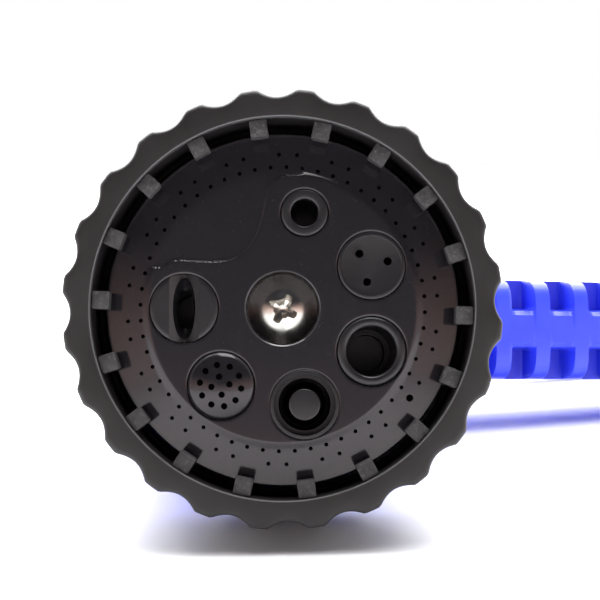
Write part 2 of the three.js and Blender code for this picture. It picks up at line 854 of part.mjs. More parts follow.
const pieces = [
  ["dial_ring", dialRing, black],
  ["face_plate", facePlate, glossBlack],
  ["fan_nozzle", fanNozzle, black],
  ["jet_nozzle", jetNozzle, black],
  ["mist_nozzle", mistNozzle, black],
  ["full_flow_nozzle", fullFlowNozzle, black],
  ["cone_nozzle", coneNozzle, black],
  ["cone_core", coneCore, black],
  ["soft_shower_nozzle", showerRose, glossBlack],
  ["dial_back", dialBack, black],
  ["dial_screw", dialScrew, steel],
  ["dial_washer", dialWasher, acetal],
  ["gun_body", gunBody, blue],
  ["outlet_seal", outletSeal, rubber],
  ["seal_spring", sealSpring, springSteel],
  ["detent_ball", detentBall, steel],
  ["detent_spring", detentSpring, springSteel],
  ["valve_stem", valveStem, brass],
  ["valve_washer", valveWasher, rubber],
  ["return_spring", returnSpring, springSteel],
  ["stem_o_ring", stemRing, rubber],
  ["gland_nut", glandNut, black],
  ["squeeze_lever", squeezeLever, black],
  ["lever_pin", leverPin, steel],
  ["nut_washer", nutWasher, steel],
  ["flow_nut", flowNut, brass],
  ["lock_clip", lockClip, steel],
  ["hose_nipple", hoseNipple, black],
  ["nipple_o_ring", nippleRing, rubber],
  ["inlet_washer", inletWasher, rubber],
];

const gun = new THREE.Group();
for (const [name, make, finish] of pieces) {
  const mesh = new THREE.Mesh(geometryOf(make()), new THREE.MeshStandardMaterial(finish));
  mesh.name = name;
  gun.add(mesh);
}

// Turns the gun until the lowest points of its three feet are level.
function lieDown(group, feet) {
  const up = new THREE.Vector3(0, 0, 1);
  for (let round = 0; round < 6; round++) {
    group.updateMatrixWorld(true);
    const [a, b, c] = feet.map((name) => lowestPoint(group.getObjectByName(name)));
    const normal = b.sub(a).cross(c.sub(a)).normalize();
    if (normal.z < 0) normal.negate();
    group.quaternion.premultiply(new THREE.Quaternion().setFromUnitVectors(normal, up));
  }
}

function lowestPoint(mesh) {
  const positions = mesh.geometry.attributes.position;
  const lowest = new THREE.Vector3(0, 0, Infinity);
  const point = new THREE.Vector3();
  for (let i = 0; i < positions.count; i++) {
    point.fromBufferAttribute(positions, i).applyMatrix4(mesh.matrixWorld);
    if (point.z < lowest.z) lowest.copy(point);
  }
  return lowest;
}

gun.rotation.x = -Math.atan2(dialRadius - rearCollarRadius, barrelLength);
lieDown(gun, ["dial_ring", "gun_body", "squeeze_lever"]);
const bounds = new THREE.Box3().setFromObject(gun, true);
const middle = bounds.getCenter(new THREE.Vector3());
gun.position.set(-middle.x, -middle.y, -bounds.min.z);

const nozzle = new THREE.Group();
nozzle.add(gun);

export default nozzle;
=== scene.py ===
# %% [markdown]
# # A garden hose spray nozzle, lying on its side
#
# The nozzle is a moulded plastic gun. A black dial at the front turns to pick one of seven spray
# patterns, a lever at the back opens the valve, and the hose clips on at the end of the grip.
# The sizes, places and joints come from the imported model, which is loaded first and never changed.
# This notebook makes the fine surfaces around it, one piece at a time, and then the finishes.

import json
import math

import bmesh
import bpy
import numpy as np
from mathutils import Matrix


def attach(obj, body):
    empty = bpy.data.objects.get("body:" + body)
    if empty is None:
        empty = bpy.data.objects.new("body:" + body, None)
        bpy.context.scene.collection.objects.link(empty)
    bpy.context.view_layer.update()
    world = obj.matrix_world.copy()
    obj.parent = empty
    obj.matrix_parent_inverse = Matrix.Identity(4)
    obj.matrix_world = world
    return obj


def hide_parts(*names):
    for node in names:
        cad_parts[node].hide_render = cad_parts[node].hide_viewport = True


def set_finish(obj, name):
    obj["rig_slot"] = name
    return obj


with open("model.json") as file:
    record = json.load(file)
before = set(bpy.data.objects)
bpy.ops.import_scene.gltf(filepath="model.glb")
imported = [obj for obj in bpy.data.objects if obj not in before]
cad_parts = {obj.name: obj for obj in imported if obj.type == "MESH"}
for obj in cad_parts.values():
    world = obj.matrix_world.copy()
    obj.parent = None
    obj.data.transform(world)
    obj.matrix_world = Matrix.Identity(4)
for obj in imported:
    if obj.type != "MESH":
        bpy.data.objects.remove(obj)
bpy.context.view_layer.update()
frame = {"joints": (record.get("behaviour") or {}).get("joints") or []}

# %% [markdown]
# ## A frame that suits the gun
#
# The gun rests a little nose-up, so its own axes are tilted in the scene. Every surface below is worked
# out in the gun's own frame, in millimetres: -y is the way the water leaves, +x runs down the grip, z is
# across the gun, and the origin is the middle of the dial's back. The joints give that frame.

# %% The gun's frame, from its joints
MM = 0.001
joints = {joint["name"]: joint for joint in frame["joints"]}
gun_origin = np.array(joints["dial_turn"]["pos_m"])
gun_back = -np.array(joints["dial_turn"]["axis"])
gun_side = -np.array(joints["lever_squeeze"]["axis"])
gun_back /= np.linalg.norm(gun_back)
gun_side /= np.linalg.norm(gun_side)
GUN = np.stack([np.cross(gun_back, gun_side), gun_back, gun_side])


def to_row(points):
    """Gun millimetres to scene metres: the origin plus the point's three steps along the gun's axes."""
    return gun_origin + MM * (np.asarray(points, float) @ GUN)


print("gun axes", GUN.round(3).tolist())

# %% The dimensions that the pieces share, in millimetres
DIAL_RADIUS = 29.0
DIAL_FRONT = -22.0
SCALLOPS = 24
SCALLOP_DEPTH = 1.1
SCALLOP_HALF = 5.3
FIRST_TIP = 9.0
BORE = 24.4
LIP = 25.2
LUG_FRONT = -21.2
LUG_BACK = -19.0
LUG_REACH = 22.75
PLATE_FRONT = -18.7
PLATE_BACK = -16.4
PLATE_RADIUS = 23.65
ISLAND = 18.3
PATTERN_RADIUS = 13.1
INSERT_FRONT = -19.2
SHANK = 3.9
SHANK_END = -4.7
THROUGH_PLATE = (-21, -15)
WELL = 4.9
BARREL_X = -PATTERN_RADIUS
GRIP_SLANT = math.radians(16)
GRIP_START = np.array([10.0, 61.5])
GRIP_FRONT = 11.5
GRIP_REAR = 12.0
GRIP_HALF = 9.5
GRIP_WAIST = 8.0
PIVOT = np.array([5.0, 90.0])
STEM = 2.5
WASHER_FRONT = 93.8
NUT_FRONT = 94.9
NUT_LENGTH = 7.6
DETENT_X = 19.5


def pattern_place(i):
    """The middle of spray pattern i, in x and z: seven of them share a circle, and 0 is over the outlet."""
    angle = math.radians(180 - 360 / 7 * i)
    return PATTERN_RADIUS * math.cos(angle), PATTERN_RADIUS * math.sin(angle)


def grip_point(along, off):
    """A point along the grip and off its middle line towards the lever, in gun x and y. Arrays give the
    points of a whole surface."""
    c, s = math.cos(GRIP_SLANT), math.sin(GRIP_SLANT)
    return np.array([GRIP_START[0] + along * c - off * s, GRIP_START[1] + along * s + off * c])


print("patterns at", [tuple(round(c, 1) for c in pattern_place(i)) for i in range(7)])

# %% [markdown]
# ## Surfaces as grids
#
# A moulded or turned part is a surface with two parameters: round the axis and along the profile, or
# round a section and along a path. Each surface is one numpy array of shape rows x columns x 3.
# A row that shrinks to a point closes a pole, and a grid that wraps closes a seam, so that every
# piece is watertight after its doubles are merged.

# %% From grids to a mesh
def grid_faces(rows, columns, wrap_rows, wrap_columns):
    """The four corners of each cell of a grid, as numbers of its points."""
    r = np.arange(rows if wrap_rows else rows - 1)
    c = np.arange(columns if wrap_columns else columns - 1)
    r, c = np.meshgrid(r, c, indexing="ij")
    below, beside = (r + 1) % rows, (c + 1) % columns
    corners = [r * columns + c, r * columns + beside, below * columns + beside, below * columns + c]
    return np.stack(corners, -1).reshape(-1, 4)


def mesh_of(name, grids):
    """One mesh from several closed grids, each (points, wrap_rows, wrap_columns), facing outwards."""
    points, faces, start = [], [], 0
    for grid, wrap_rows, wrap_columns in grids:
        rows, columns = grid.shape[:2]
        points.append(grid.reshape(-1, 3))
        faces.append(grid_faces(rows, columns, wrap_rows, wrap_columns) + start)
        start += rows * columns
    points, faces = to_row(np.concatenate(points)), np.concatenate(faces)
    mesh = bpy.data.meshes.new(name)
    mesh.vertices.add(len(points))
    mesh.vertices.foreach_set("co", points.ravel())
    mesh.loops.add(faces.size)
    mesh.loops.foreach_set("vertex_index", faces.ravel())
    mesh.polygons.add(len(faces))
    mesh.polygons.foreach_set("loop_start", np.arange(0, faces.size, 4))
    mesh.update(calc_edges=True)
    shell = bmesh.new()
    shell.from_mesh(mesh)
    bmesh.ops.remove_doubles(shell, verts=shell.verts, dist=2e-7)
    bmesh.ops.dissolve_degenerate(shell, edges=shell.edges, dist=1e-8)
    bmesh.ops.recalc_face_normals(shell, faces=shell.faces)
    shell.to_mesh(mesh)
    shell.free()
    return mesh


SHARP = math.radians(32)


def smooth(mesh):
    """Smooth shading everywhere but across edges that turn more than the sharp angle."""
    mesh.polygons.foreach_set("use_smooth", np.ones(len(mesh.polygons), bool))
    mesh.set_sharp_from_angle(angle=SHARP)


def thing(name, grids):
    """A scene object made from closed grids."""
    obj = bpy.data.objects.new(name, mesh_of(name, grids))
    bpy.context.scene.collection.objects.link(obj)
    smooth(obj.data)
    return obj


# %% Cutting and joining
def combine(obj, others, how):
    """Cuts the other objects from obj, or joins them to it, and leaves the result as a plain mesh."""
    for other in others:
        modifier = obj.modifiers.new(how.lower(), "BOOLEAN")
        modifier.operation = how
        modifier.solver = "MANIFOLD"
        modifier.object = other
        bpy.context.view_layer.update()
        graph = bpy.context.evaluated_depsgraph_get()
        mesh = bpy.data.meshes.new_from_object(obj.evaluated_get(graph))
        obj.modifiers.clear()
        obj.data = mesh
        bpy.data.objects.remove(other)
    smooth(obj.data)
    return obj


def cut(obj, *others):
    """Takes the others out of the object."""
    return combine(obj, others, "DIFFERENCE")


def join(obj, *others):
    """Makes one shell of the object and the others."""
    return combine(obj, others, "UNION")


finished = []


def fit(obj, body, slot, *nodes):
    """Hands a finished piece to the frame: the body it moves with, its finish, the nodes it stands for."""
    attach(obj, body)
    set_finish(obj, slot)
    if nodes:
        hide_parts(*nodes)
    finished.append(obj)
    print(f"{obj.name}: {len(obj.data.polygons)} faces on {body}")
    return obj


# %% Profiles
def rounded(corners, radius, steps=5):
    """A closed outline with each corner replaced by an arc-like curve: the quadratic blend of the two
    points a radius away from the corner. radius is one number or one for each corner."""
    corners = np.asarray(corners, float)
    radii = np.broadcast_to(radius, len(corners))
    before, after = np.roll(corners, 1, 0), np.roll(corners, -1, 0)
    to_before, to_after = before - corners, after - corners
    length_before = np.linalg.norm(to_before, axis=1)
    length_after = np.linalg.norm(to_after, axis=1)
    reach = np.minimum(radii, 0.48 * np.minimum(length_before, length_after))
    enter = corners + to_before * (reach / length_before)[:, None]
    leave = corners + to_after * (reach / length_after)[:, None]
    t = np.linspace(0, 1, steps)[None, :, None]
    curve = (1 - t) ** 2 * enter[:, None] + 2 * t * (1 - t) * corners[:, None] + t**2 * leave[:, None]
    return curve.reshape(-1, 2)


def refined(outline, longest):
    """The same closed outline with extra points, so that no side is longer than the longest."""
    ends = np.roll(outline, -1, 0)
    parts = []
    for a, b in zip(outline, ends):
        count = max(1, int(np.ceil(np.linalg.norm(b - a) / longest)))
        parts.append(a + (b - a) * np.linspace(0, 1, count, endpoint=False)[:, None])
    return np.concatenate(parts)


def round_axis(r, y, angle, place=(0.0, 0.0)):
    """The points at a radius and a y, at each angle round the y axis that stands at the place."""
    return np.stack([place[0] + r * np.cos(angle), y + 0 * angle, place[1] + r * np.sin(angle)], -1)


def turned(profile, place=(0.0, 0.0), sides=64):
    """A turned surface: each (radius, y) of a closed profile goes round the y axis at the place."""
    angle = np.linspace(0, 2 * np.pi, sides, endpoint=False)[None, :]
    return round_axis(profile[:, :1], profile[:, 1:], angle, place), True, True


def rod(radius, low, high, place=(0.0, 0.0), sides=32):
    """A plain cylinder along y with its ends closed on the axis."""
    profile = np.array([[0, low], [radius, low], [radius, high], [0, high]], float)
    grid, _, _ = turned(profile, place, sides)
    return grid, False, True


def across(radius, half_width, place, bevel=0.4, sides=40):
    """A cylinder across the gun at an x and y, with its rims rounded."""
    corners = [[0, -half_width], [radius, -half_width], [radius, half_width], [0, half_width]]
    profile = rounded(corners, [0, bevel, bevel, 0], 4)
    angle = np.linspace(0, 2 * np.pi, sides, endpoint=False)[None, :]
    r, z = profile[:, :1], profile[:, 1:]
    x = place[0] + r * np.cos(angle)
    y = place[1] + r * np.sin(angle)
    return np.stack([x, y, z + 0 * angle], -1), True, True


def capped(rows):
    """A run of closed sections, with a point in the middle of the first and of the last to close it."""
    first, last = (np.repeat(end.mean(1, keepdims=True), rows.shape[1], 1) for end in (rows[:1], rows[-1:]))
    return np.concatenate([first, rows, last]), False, True


def tube_along(path, radius, sides):
    """A round wire: a circle carried along a path of points, square to it at every point. The circle's
    first direction is carried from point to point without twist by taking out its part along the path."""
    tangent = np.gradient(path, axis=0)
    tangent /= np.linalg.norm(tangent, axis=1)[:, None]
    reference = np.array([0.0, 0.0, 1.0]) if abs(tangent[0, 2]) < 0.9 else np.array([1.0, 0.0, 0.0])
    normals = np.empty_like(path)
    for i, direction in enumerate(tangent):
        reference = reference - direction * (reference @ direction)
        reference /= np.linalg.norm(reference)
        normals[i] = reference
    binormals = np.cross(tangent, normals)
    angle = np.linspace(0, 2 * np.pi, sides, endpoint=False)[None, :, None]
    circle = normals[:, None] * np.cos(angle) + binormals[:, None] * np.sin(angle)
    return capped(path[:, None] + circle * radius)


# %% [markdown]
# ## The dial ring
#
# The ring is the grip of the dial: a thick moulded hoop with twenty-four finger scallops. It could be
# a cylinder with notches cut out, but the real one is moulded with soft edges, so it is one surface:
# a rounded profile carried round the axis, pulled in where a scallop is.

# %% The scalloped ring
def scallop(angle):
    """How far the rim is pulled in at an angle: a parabola that starts at each valley and ends where the
    flat tip starts, counted from the nearest valley."""
    pitch = 360 / SCALLOPS
    from_valley = (np.degrees(angle) - FIRST_TIP) % pitch - pitch / 2
    return SCALLOP_DEPTH * np.clip(1 - (from_valley / SCALLOP_HALF) ** 2, 0, None)


PRESSED_FROM = 26.0
LIP_DEPTH = 9


def ring_surface():
    """The dial's profile goes round the axis. A radius outside PRESSED_FROM is pressed towards it by the
    share that the scallop takes."""
    corners = [[DIAL_RADIUS, 0], [DIAL_RADIUS, DIAL_FRONT], [LIP, DIAL_FRONT],
               [LIP - 0.1, DIAL_FRONT + LIP_DEPTH], [BORE, DIAL_FRONT + LIP_DEPTH + 0.5], [BORE, 0]]
    profile = refined(rounded(corners, [0.6, 0.9, 0.16, 0.3, 0.3, 0.3], 6), 2.5)
    angle = np.linspace(0, 2 * np.pi, SCALLOPS * 18, endpoint=False)[None, :]
    r, y = profile[:, :1], profile[:, 1:]
    share = np.clip((r - PRESSED_FROM) / (DIAL_RADIUS - PRESSED_FROM), 0, 1)
    return round_axis(r - scallop(angle) * share, y, angle), True, True


fit(thing("dial_grip_ring", [ring_surface()]), "dial", "black_plastic", "dial_ring")

# %% [markdown]
# Eighteen square lugs stand inward from the ring's wall and hold the face plate. Each is a small block
# with rounded edges, so it is a stack of rounded rectangles that shrink towards both ends.

# %% The lugs
LUGS = 18
FIRST_LUG = 17.6
LUG_HALF = 1.19


def rounded_block(x0, x1, y0, y1, z0, z1, radius, bevel):
    """A block as a stack of rounded rectangles along y, each drawn in by the bevel near the ends."""
    levels = [(y0, None), (y0, bevel), (y0 + 0.3 * bevel, 0.3 * bevel), (y0 + bevel, 0.0),
              (y1 - bevel, 0.0), (y1 - 0.3 * bevel, 0.3 * bevel), (y1, bevel), (y1, None)]
    middle = np.array([(x0 + x1) / 2, (z0 + z1) / 2])
    rows = []
    for y, inset in levels:
        if inset is None:
            outline = np.repeat(middle[None], 20, 0)
        else:
            corners = [[x0 + inset, z0 + inset], [x1 - inset, z0 + inset],
                       [x1 - inset, z1 - inset], [x0 + inset, z1 - inset]]
            outline = rounded(corners, radius, 5)
        rows.append(np.stack([outline[:, 0], np.full(len(outline), y), outline[:, 1]], -1))
    return np.stack(rows), False, True


def round_dial(grid, degrees):
    """The same grid turned about the dial's axis."""
    points, wrap_rows, wrap_columns = grid
    c, s = math.cos(math.radians(degrees)), math.sin(math.radians(degrees))
    x, y, z = points[..., 0], points[..., 1], points[..., 2]
    return np.stack([x * c - z * s, y, x * s + z * c], -1), wrap_rows, wrap_columns


lug = rounded_block(LUG_REACH, LIP - 0.08, LUG_FRONT, LUG_BACK, -LUG_HALF, LUG_HALF, 0.3, 0.2)
lugs = thing("plate_lugs", [round_dial(lug, FIRST_LUG + 360 / LUGS * i) for i in range(LUGS)])
fit(lugs, "dial", "black_plastic")

# %% [markdown]
# ## The face plate
#
# The plate is a polished disc. Its outer band falls away towards the edge, a raised island carries the
# six inserts, and the sector without an insert is a shallow pool whose shore is an S-shaped curve. The
# front is a height above the dial's back, worked out on a fine polar grid, and the holes are cut after.

# %% The pool's shore
SHORE = np.array([[-20.5, 6.0], [-16.6, 5.4], [-14.4, 6.35], [-10.5, 6.2], [-7.3, 6.4], [-5.2, 7.5],
                  [-3.9, 9.1], [-3.2, 10.6], [-2.6, 13.0], [-2.2, 15.0], [-1.7, 16.5], [-0.4, 17.6],
                  [2.8, 18.3], [3.5, 21.0]])


def smooth_line(points, count):
    """A curve through the points: a cubic in each stretch whose end slopes are half the step between the
    neighbouring points."""
    padded = np.concatenate([2 * points[:1] - points[1:2], points, 2 * points[-1:] - points[-2:-1]])
    at = np.linspace(0, len(points) - 1, count)
    k = np.minimum(at.astype(int), len(points) - 2)
    t = (at - k)[:, None]
    a, b, c, d = padded[k], padded[k + 1], padded[k + 2], padded[k + 3]
    bend = 2 * a - 5 * b + 4 * c - d
    return 0.5 * (2 * b + (c - a) * t + bend * t**2 + (3 * b - a - 3 * c + d) * t**3)


def step(value):
    """0 below 0, 1 above 1, and a smooth S between."""
    value = np.clip(value, 0, 1)
    return value * value * (3 - 2 * value)


def shore_distance(x, z):
    """How far a point of the plate is from the pool's shore, positive on the island's side: the distance
    to the nearest point of the curve, with its sign from the side of the curve's direction there."""
    curve = smooth_line(SHORE, 160)
    heading = np.gradient(curve, axis=0)
    flat = np.stack([x.ravel(), z.ravel()], -1)
    distance = np.empty(len(flat))
    for block in np.array_split(np.arange(len(flat)), 12):
        away = flat[block, None] - curve[None]
        squared = (away**2).sum(-1)
        nearest = squared.argmin(1)
        offset = away[np.arange(len(block)), nearest]
        turn = heading[nearest, 0] * offset[:, 1] - heading[nearest, 1] * offset[:, 0]
        distance[block] = -np.sign(turn) * np.sqrt(squared.min(1))
    return distance.reshape(x.shape)


# %% The plate's front as a height
HEAD_RADII = {0: 4.55, 2: 3.15, 3: 4.5, 4: 4.6, 5: 4.5, 6: 4.45}
ISLAND_RISE = 0.3
PLATE_SIDES = 560
BAND_SLOPE = 0.165


def plate_height(x, z):
    """How far the plate's front stands before y = PLATE_FRONT: the band is a cone with a rounded start, the
    island rises by a broad step at its rim and a narrow one at the pool's shore, and the rims of the
    holes dip a little."""
    r = np.hypot(x, z)
    past = r - ISLAND
    height = -BAND_SLOPE * 0.5 * (past + np.sqrt(past**2 + 0.09))
    height = height + ISLAND_RISE * step((ISLAND + 0.5 - r) / 1.1) * step(shore_distance(x, z) / 0.5 + 0.5)
    height = height - 0.15 * np.clip(1 - (r - WELL) / 0.2, 0, 1) ** 2
    for i, radius in HEAD_RADII.items():
        px, pz = pattern_place(i)
        height = height - 0.12 * np.clip(1 - (np.hypot(x - px, z - pz) - radius) / 0.3, 0, 1) ** 2
    return height


def plate_surface():
    """Rings from the axis to the edge carry the height, a rounded rim turns down, and a flat back closes.
    The rings are close together where the shore, the island's rim and the holes need them."""
    radius = np.concatenate([np.linspace(0, 4.7, 3), np.linspace(4.9, 5.6, 5), np.linspace(5.7, 18.8, 128),
                             np.linspace(19.1, 23.4, 14)])
    angle = np.linspace(0, 2 * np.pi, PLATE_SIDES, endpoint=False)
    r, a = np.meshgrid(radius, angle, indexing="ij")
    x, z = r * np.cos(a), r * np.sin(a)
    front = np.stack([x, PLATE_FRONT - plate_height(x, z), z], -1)
    edge = PLATE_FRONT + BAND_SLOPE * (PLATE_RADIUS - ISLAND)
    profile = [(PLATE_RADIUS - 0.1, edge + 0.12), (PLATE_RADIUS, edge + 0.4),
               (PLATE_RADIUS, PLATE_BACK - 0.2), (PLATE_RADIUS - 0.2, PLATE_BACK), (0.0, PLATE_BACK)]
    rim = np.stack([round_axis(q, y, angle) for q, y in profile])
    return np.concatenate([front, rim]), False, True


plate = thing("face_plate_shell", [plate_surface()])
print("plate", len(plate.data.polygons), "faces before its holes")

# %% The holes of the plate
INNER_ROW, OUTER_ROW = 18.93, 20.66
INNER_HOLES = 56
PINHOLE = 0.28
FIRST_INNER = 178.5
FIRST_PAIR = 188.1
PAIR_ANGLE = 360 / 54
WIDE_ANGLE = -35.2
WIDE_ROW = 20.65
WIDE_HOLE = 0.5


def pinholes():
    """An inner row all the way round, and an outer row of pairs that leaves one out at every lug. The
    wider hole takes the place of the small one nearest to it."""
    places = [(INNER_ROW, FIRST_INNER + 360 / INNER_HOLES * i, PINHOLE) for i in range(INNER_HOLES)]
    for i in range(LUGS):
        middle = FIRST_PAIR + 360 / LUGS * i
        for half in (-0.5, 0.5):
            angle = middle + half * PAIR_ANGLE
            if abs((angle - WIDE_ANGLE + 180) % 360 - 180) > 3:
                places.append((OUTER_ROW, angle, PINHOLE))
    places.append((WIDE_ROW, WIDE_ANGLE, WIDE_HOLE))
    return places


def at_angle(radius, degrees):
    """The x and z of a point of the dial at a radius and an angle."""
    return radius * math.cos(math.radians(degrees)), radius * math.sin(math.radians(degrees))


drills = [rod(size, *THROUGH_PLATE, at_angle(radius, degrees), 10) for radius, degrees, size in pinholes()]
openings = [rod(radius + 0.1, *THROUGH_PLATE, pattern_place(i), 56) for i, radius in HEAD_RADII.items()]
openings.append(rod(WELL, *THROUGH_PLATE, (0, 0), 64))
cut(plate, thing("pinhole_drills", drills), thing("insert_openings", openings))
WELL_WALL = 6.2
WELL_END = -14.8
well_corners = [[WELL_WALL, PLATE_BACK - 0.3], [WELL_WALL, WELL_END],
                [WELL, WELL_END], [WELL, PLATE_BACK - 0.3]]
join(plate, thing("well", [turned(rounded(well_corners, 0.1, 2))]))
fit(plate, "dial", "black_gloss", "face_plate")
print("pinholes", len(drills))

# %% [markdown]
# ## The six inserts
#
# Each pattern is a small moulded nozzle pushed into the plate: a round head in front and a shank that
# runs back to the dial's distributor. The plain ones are turned profiles. A groove or a hole that isn't
# round about the axis is cut afterwards with a closed cutter.

# %% A turned insert
HEAD_END = -16.2
SHANK_START = -15.6


def insert(name, i, head, bore, face=0.0, rim=0.3, crown=0.0):
    """A head and a shank about one axis. face is the thickness of a closed front, and crown is how far
    the middle of that front stands before its rim."""
    front = INSERT_FRONT
    if face:
        r = np.linspace(0, head - rim, 12)
        dome = np.stack([r, front - crown * (1 - (r / head) ** 2)], -1)
        inner = np.array([[bore, SHANK_END], [bore, front + face], [0, front + face]])
        outer = np.array([[head, front + rim], [head, HEAD_END], [SHANK, SHANK_START], [SHANK, SHANK_END]])
        profile = np.concatenate([inner, dome, [[head - 0.3 * rim, front + 0.3 * rim]], outer])
    else:
        corners = [[bore, SHANK_END], [bore, front], [head, front], [head, HEAD_END],
                   [SHANK, SHANK_START], [SHANK, SHANK_END]]
        profile = rounded(corners, [0.1, rim, rim, 0.2, 0.2, 0.1], 5)
    return thing(name, [turned(profile, pattern_place(i))])


def ball(centre, radii, rows=20, columns=40):
    """An ellipsoid: three half-axes about a centre, poles along z."""
    v = np.linspace(-np.pi / 2, np.pi / 2, rows)[:, None]
    u = np.linspace(0, 2 * np.pi, columns, endpoint=False)[None, :]
    ring = np.cos(v)
    shape = [ring * np.cos(u) * radii[0], ring * np.sin(u) * radii[1], np.sin(v) * radii[2] + 0 * u]
    return np.stack(shape, -1) + np.asarray(centre, float), False, True


# %% The flat-fan insert
def vee(place, half_width, depth, half_length, front):
    """A groove cutter that runs across the dial: a triangle with a rounded root carried along z."""
    outline = rounded([[-half_width, front - 0.02], [-half_width, front - 3], [half_width, front - 3],
                       [half_width, front - 0.02], [0, front + depth]], [0.1, 0.1, 0.1, 0.1, 0.25], 5)
    z = np.array([-half_length, -half_length, half_length, half_length])
    size = np.array([0.0, 1.0, 1.0, 0.0])[:, None, None]
    middle = np.array([0.0, front - 1])
    points = middle + (outline[None] - middle) * size
    x, y = points[..., 0] + place[0], points[..., 1]
    return np.stack([x, y, z[:, None] + place[1] + 0 * x], -1), False, True


fan_x, fan_z = pattern_place(0)
fan = insert("fan_insert", 0, HEAD_RADII[0], 2.6, face=3.2, rim=0.25)
cut(fan, thing("fan_groove", [vee((fan_x, fan_z), 2.0, 1.5, 6, INSERT_FRONT)]),
    thing("fan_slot", [ball((fan_x, INSERT_FRONT + 0.8, fan_z), (1.5, 3.6, 4.2))]))
fit(fan, "dial", "black_plastic", "fan_nozzle")

# %% The jet, full-flow and cone inserts
jet = insert("jet_insert", 2, HEAD_RADII[2], 1.82, rim=0.35)
fit(jet, "dial", "black_plastic", "jet_nozzle")
full = insert("full_flow_insert", 4, HEAD_RADII[4], 3.3, rim=0.55)
fit(full, "dial", "black_plastic", "full_flow_nozzle")
cone = insert("cone_insert", 5, HEAD_RADII[5] + 0.08, 3.5, rim=0.14)
mouth = [[0, -20], [4.1, -20], [4.1, INSERT_FRONT + 2.7], [0, INSERT_FRONT + 2.7]]
cut(cone, thing("cone_mouth", [turned(rounded(mouth, 0.02, 2), pattern_place(5))]))
fit(cone, "dial", "black_plastic", "cone_nozzle")
core = [[0, INSERT_FRONT + 0.15], [2.12, INSERT_FRONT + 0.15], [2.12, -12],
        [2.95, -10.5], [2.95, -7], [0, -7]]
plug = thing("cone_plug", [turned(rounded(core, [0, 0.28, 0.3, 0.3, 0.2, 0], 5), pattern_place(5))])
fit(plug, "dial", "black_plastic", "cone_core")

# %% The mist insert, with its thin raised rim and three holes
mist = insert("mist_insert", 3, HEAD_RADII[3], 3.0, face=1.6, rim=0.16)
mist_x, mist_z = pattern_place(3)
dish = [[0, -21], [4.12, -21], [4.12, INSERT_FRONT + 0.28], [0, INSERT_FRONT + 0.28]]
mist_holes = [(mist_x + 2.25 * math.cos(math.radians(a)), mist_z + 2.25 * math.sin(math.radians(a)))
              for a in (15, 135, 255)]
cut(mist, thing("mist_dish", [turned(rounded(dish, [0, 0, 0.2, 0], 4), (mist_x, mist_z))]),
    thing("mist_drills", [rod(0.55, *THROUGH_PLATE, place, 20) for place in mist_holes]))
fit(mist, "dial", "black_plastic", "mist_nozzle")

# %% The soft-shower rose, a polished dome with two rings of holes
rose = insert("soft_shower_rose", 6, HEAD_RADII[6], 3.3, face=1.6, rim=0.25, crown=1.2)
rose_x, rose_z = pattern_place(6)
rose_holes = []
for count, circle, first in ((10, 2.75, 28), (4, 1.2, 8)):
    for k in range(count):
        turn = math.radians(first + 360 * k / count)
        rose_holes.append((rose_x + circle * math.cos(turn), rose_z + circle * math.sin(turn)))
cut(rose, thing("rose_drills", [rod(0.43, -22, -15, place, 14) for place in rose_holes]))
fit(rose, "dial", "black_gloss", "soft_shower_nozzle")

# %% [markdown]
# ## The screw
#
# A plated pan-head screw holds the dial on. Its head is a turned dome, and the cross recess is cut with
# a cross-shaped punch that narrows as it goes in, as the real cold-forming punch does.

# %% The dial screw
HEAD_RADIUS = 4.65
HEAD_TOP = -17.75
HEAD_BACK = -14.75
RECESS_TURN = 62


def cross_punch(arm, half_width, top, depth, taper):
    """A plus-shaped outline, shrinking from the mouth to the floor of the recess, closed at both ends."""
    w = half_width
    wing = np.array([[w, -w], [arm - 0.2, -w * 0.8], [arm, 0], [arm - 0.2, w * 0.8]])
    outline = []
    for quarter in range(4):
        c, s = math.cos(quarter * math.pi / 2), math.sin(quarter * math.pi / 2)
        outline.append(wing @ np.array([[c, s], [-s, c]]))
    outline = np.concatenate(outline)
    levels = [(top, 0.0), (top, 1.05), (top + 1.0, 1.0),
              (top + 1 + depth * 0.75, taper), (top + 1 + depth, 0.0)]
    rows = [np.stack([outline[:, 0] * k, np.full(len(outline), y), outline[:, 1] * k], -1) for y, k in levels]
    return np.stack(rows), False, True


r = np.linspace(0, 1, 14)
dome = np.stack([HEAD_RADIUS * r, HEAD_TOP + 1.8 * r**1.45], -1)
shank = rounded([[HEAD_RADIUS, HEAD_BACK], [STEM, HEAD_BACK], [STEM, 6], [0, 6]], [0.25, 0.1, 0.5, 0], 4)
screw = thing("cross_recess_screw", [turned(np.concatenate([dome, shank]), sides=72)])
core_punch = [[0, HEAD_TOP - 1], [1.9, HEAD_TOP - 1], [1.45, HEAD_TOP],
              [0.7, HEAD_TOP + 1.7], [0, HEAD_TOP + 2.1]]
cut(screw, thing("cross_punch", [round_dial(cross_punch(2.5, 0.7, HEAD_TOP - 1, 2.0, 0.55), RECESS_TURN)]),
    thing("core_punch", [round_dial(turned(np.array(core_punch), sides=8), 17)]))
fit(screw, "handle", "bright_steel", "dial_screw")

# %% [markdown]
# ## The body
#
# The body is one blue moulding: a flange behind the dial, a barrel for the valve, and a grip with
# cross ribs on its front. Each part is its own smooth surface, and they are joined into one shell.
# The grip is a rounded section carried along a straight line. The pockets between its ribs are pressed
# into the same surface, down to one floor, so that their edges are real.

# %% The grip
RIB_PITCH = 8.0
POCKET = 5.0
FIRST_POCKET = 6.0
POCKETS = 10
POCKET_DEPTH = 5.0
SPINE_HALF = 3.25
GRIP_LENGTH = 100.0
WAIST_START = 66.0


GRIP_EDGE = 0.6
GRIP_SIDES = 168


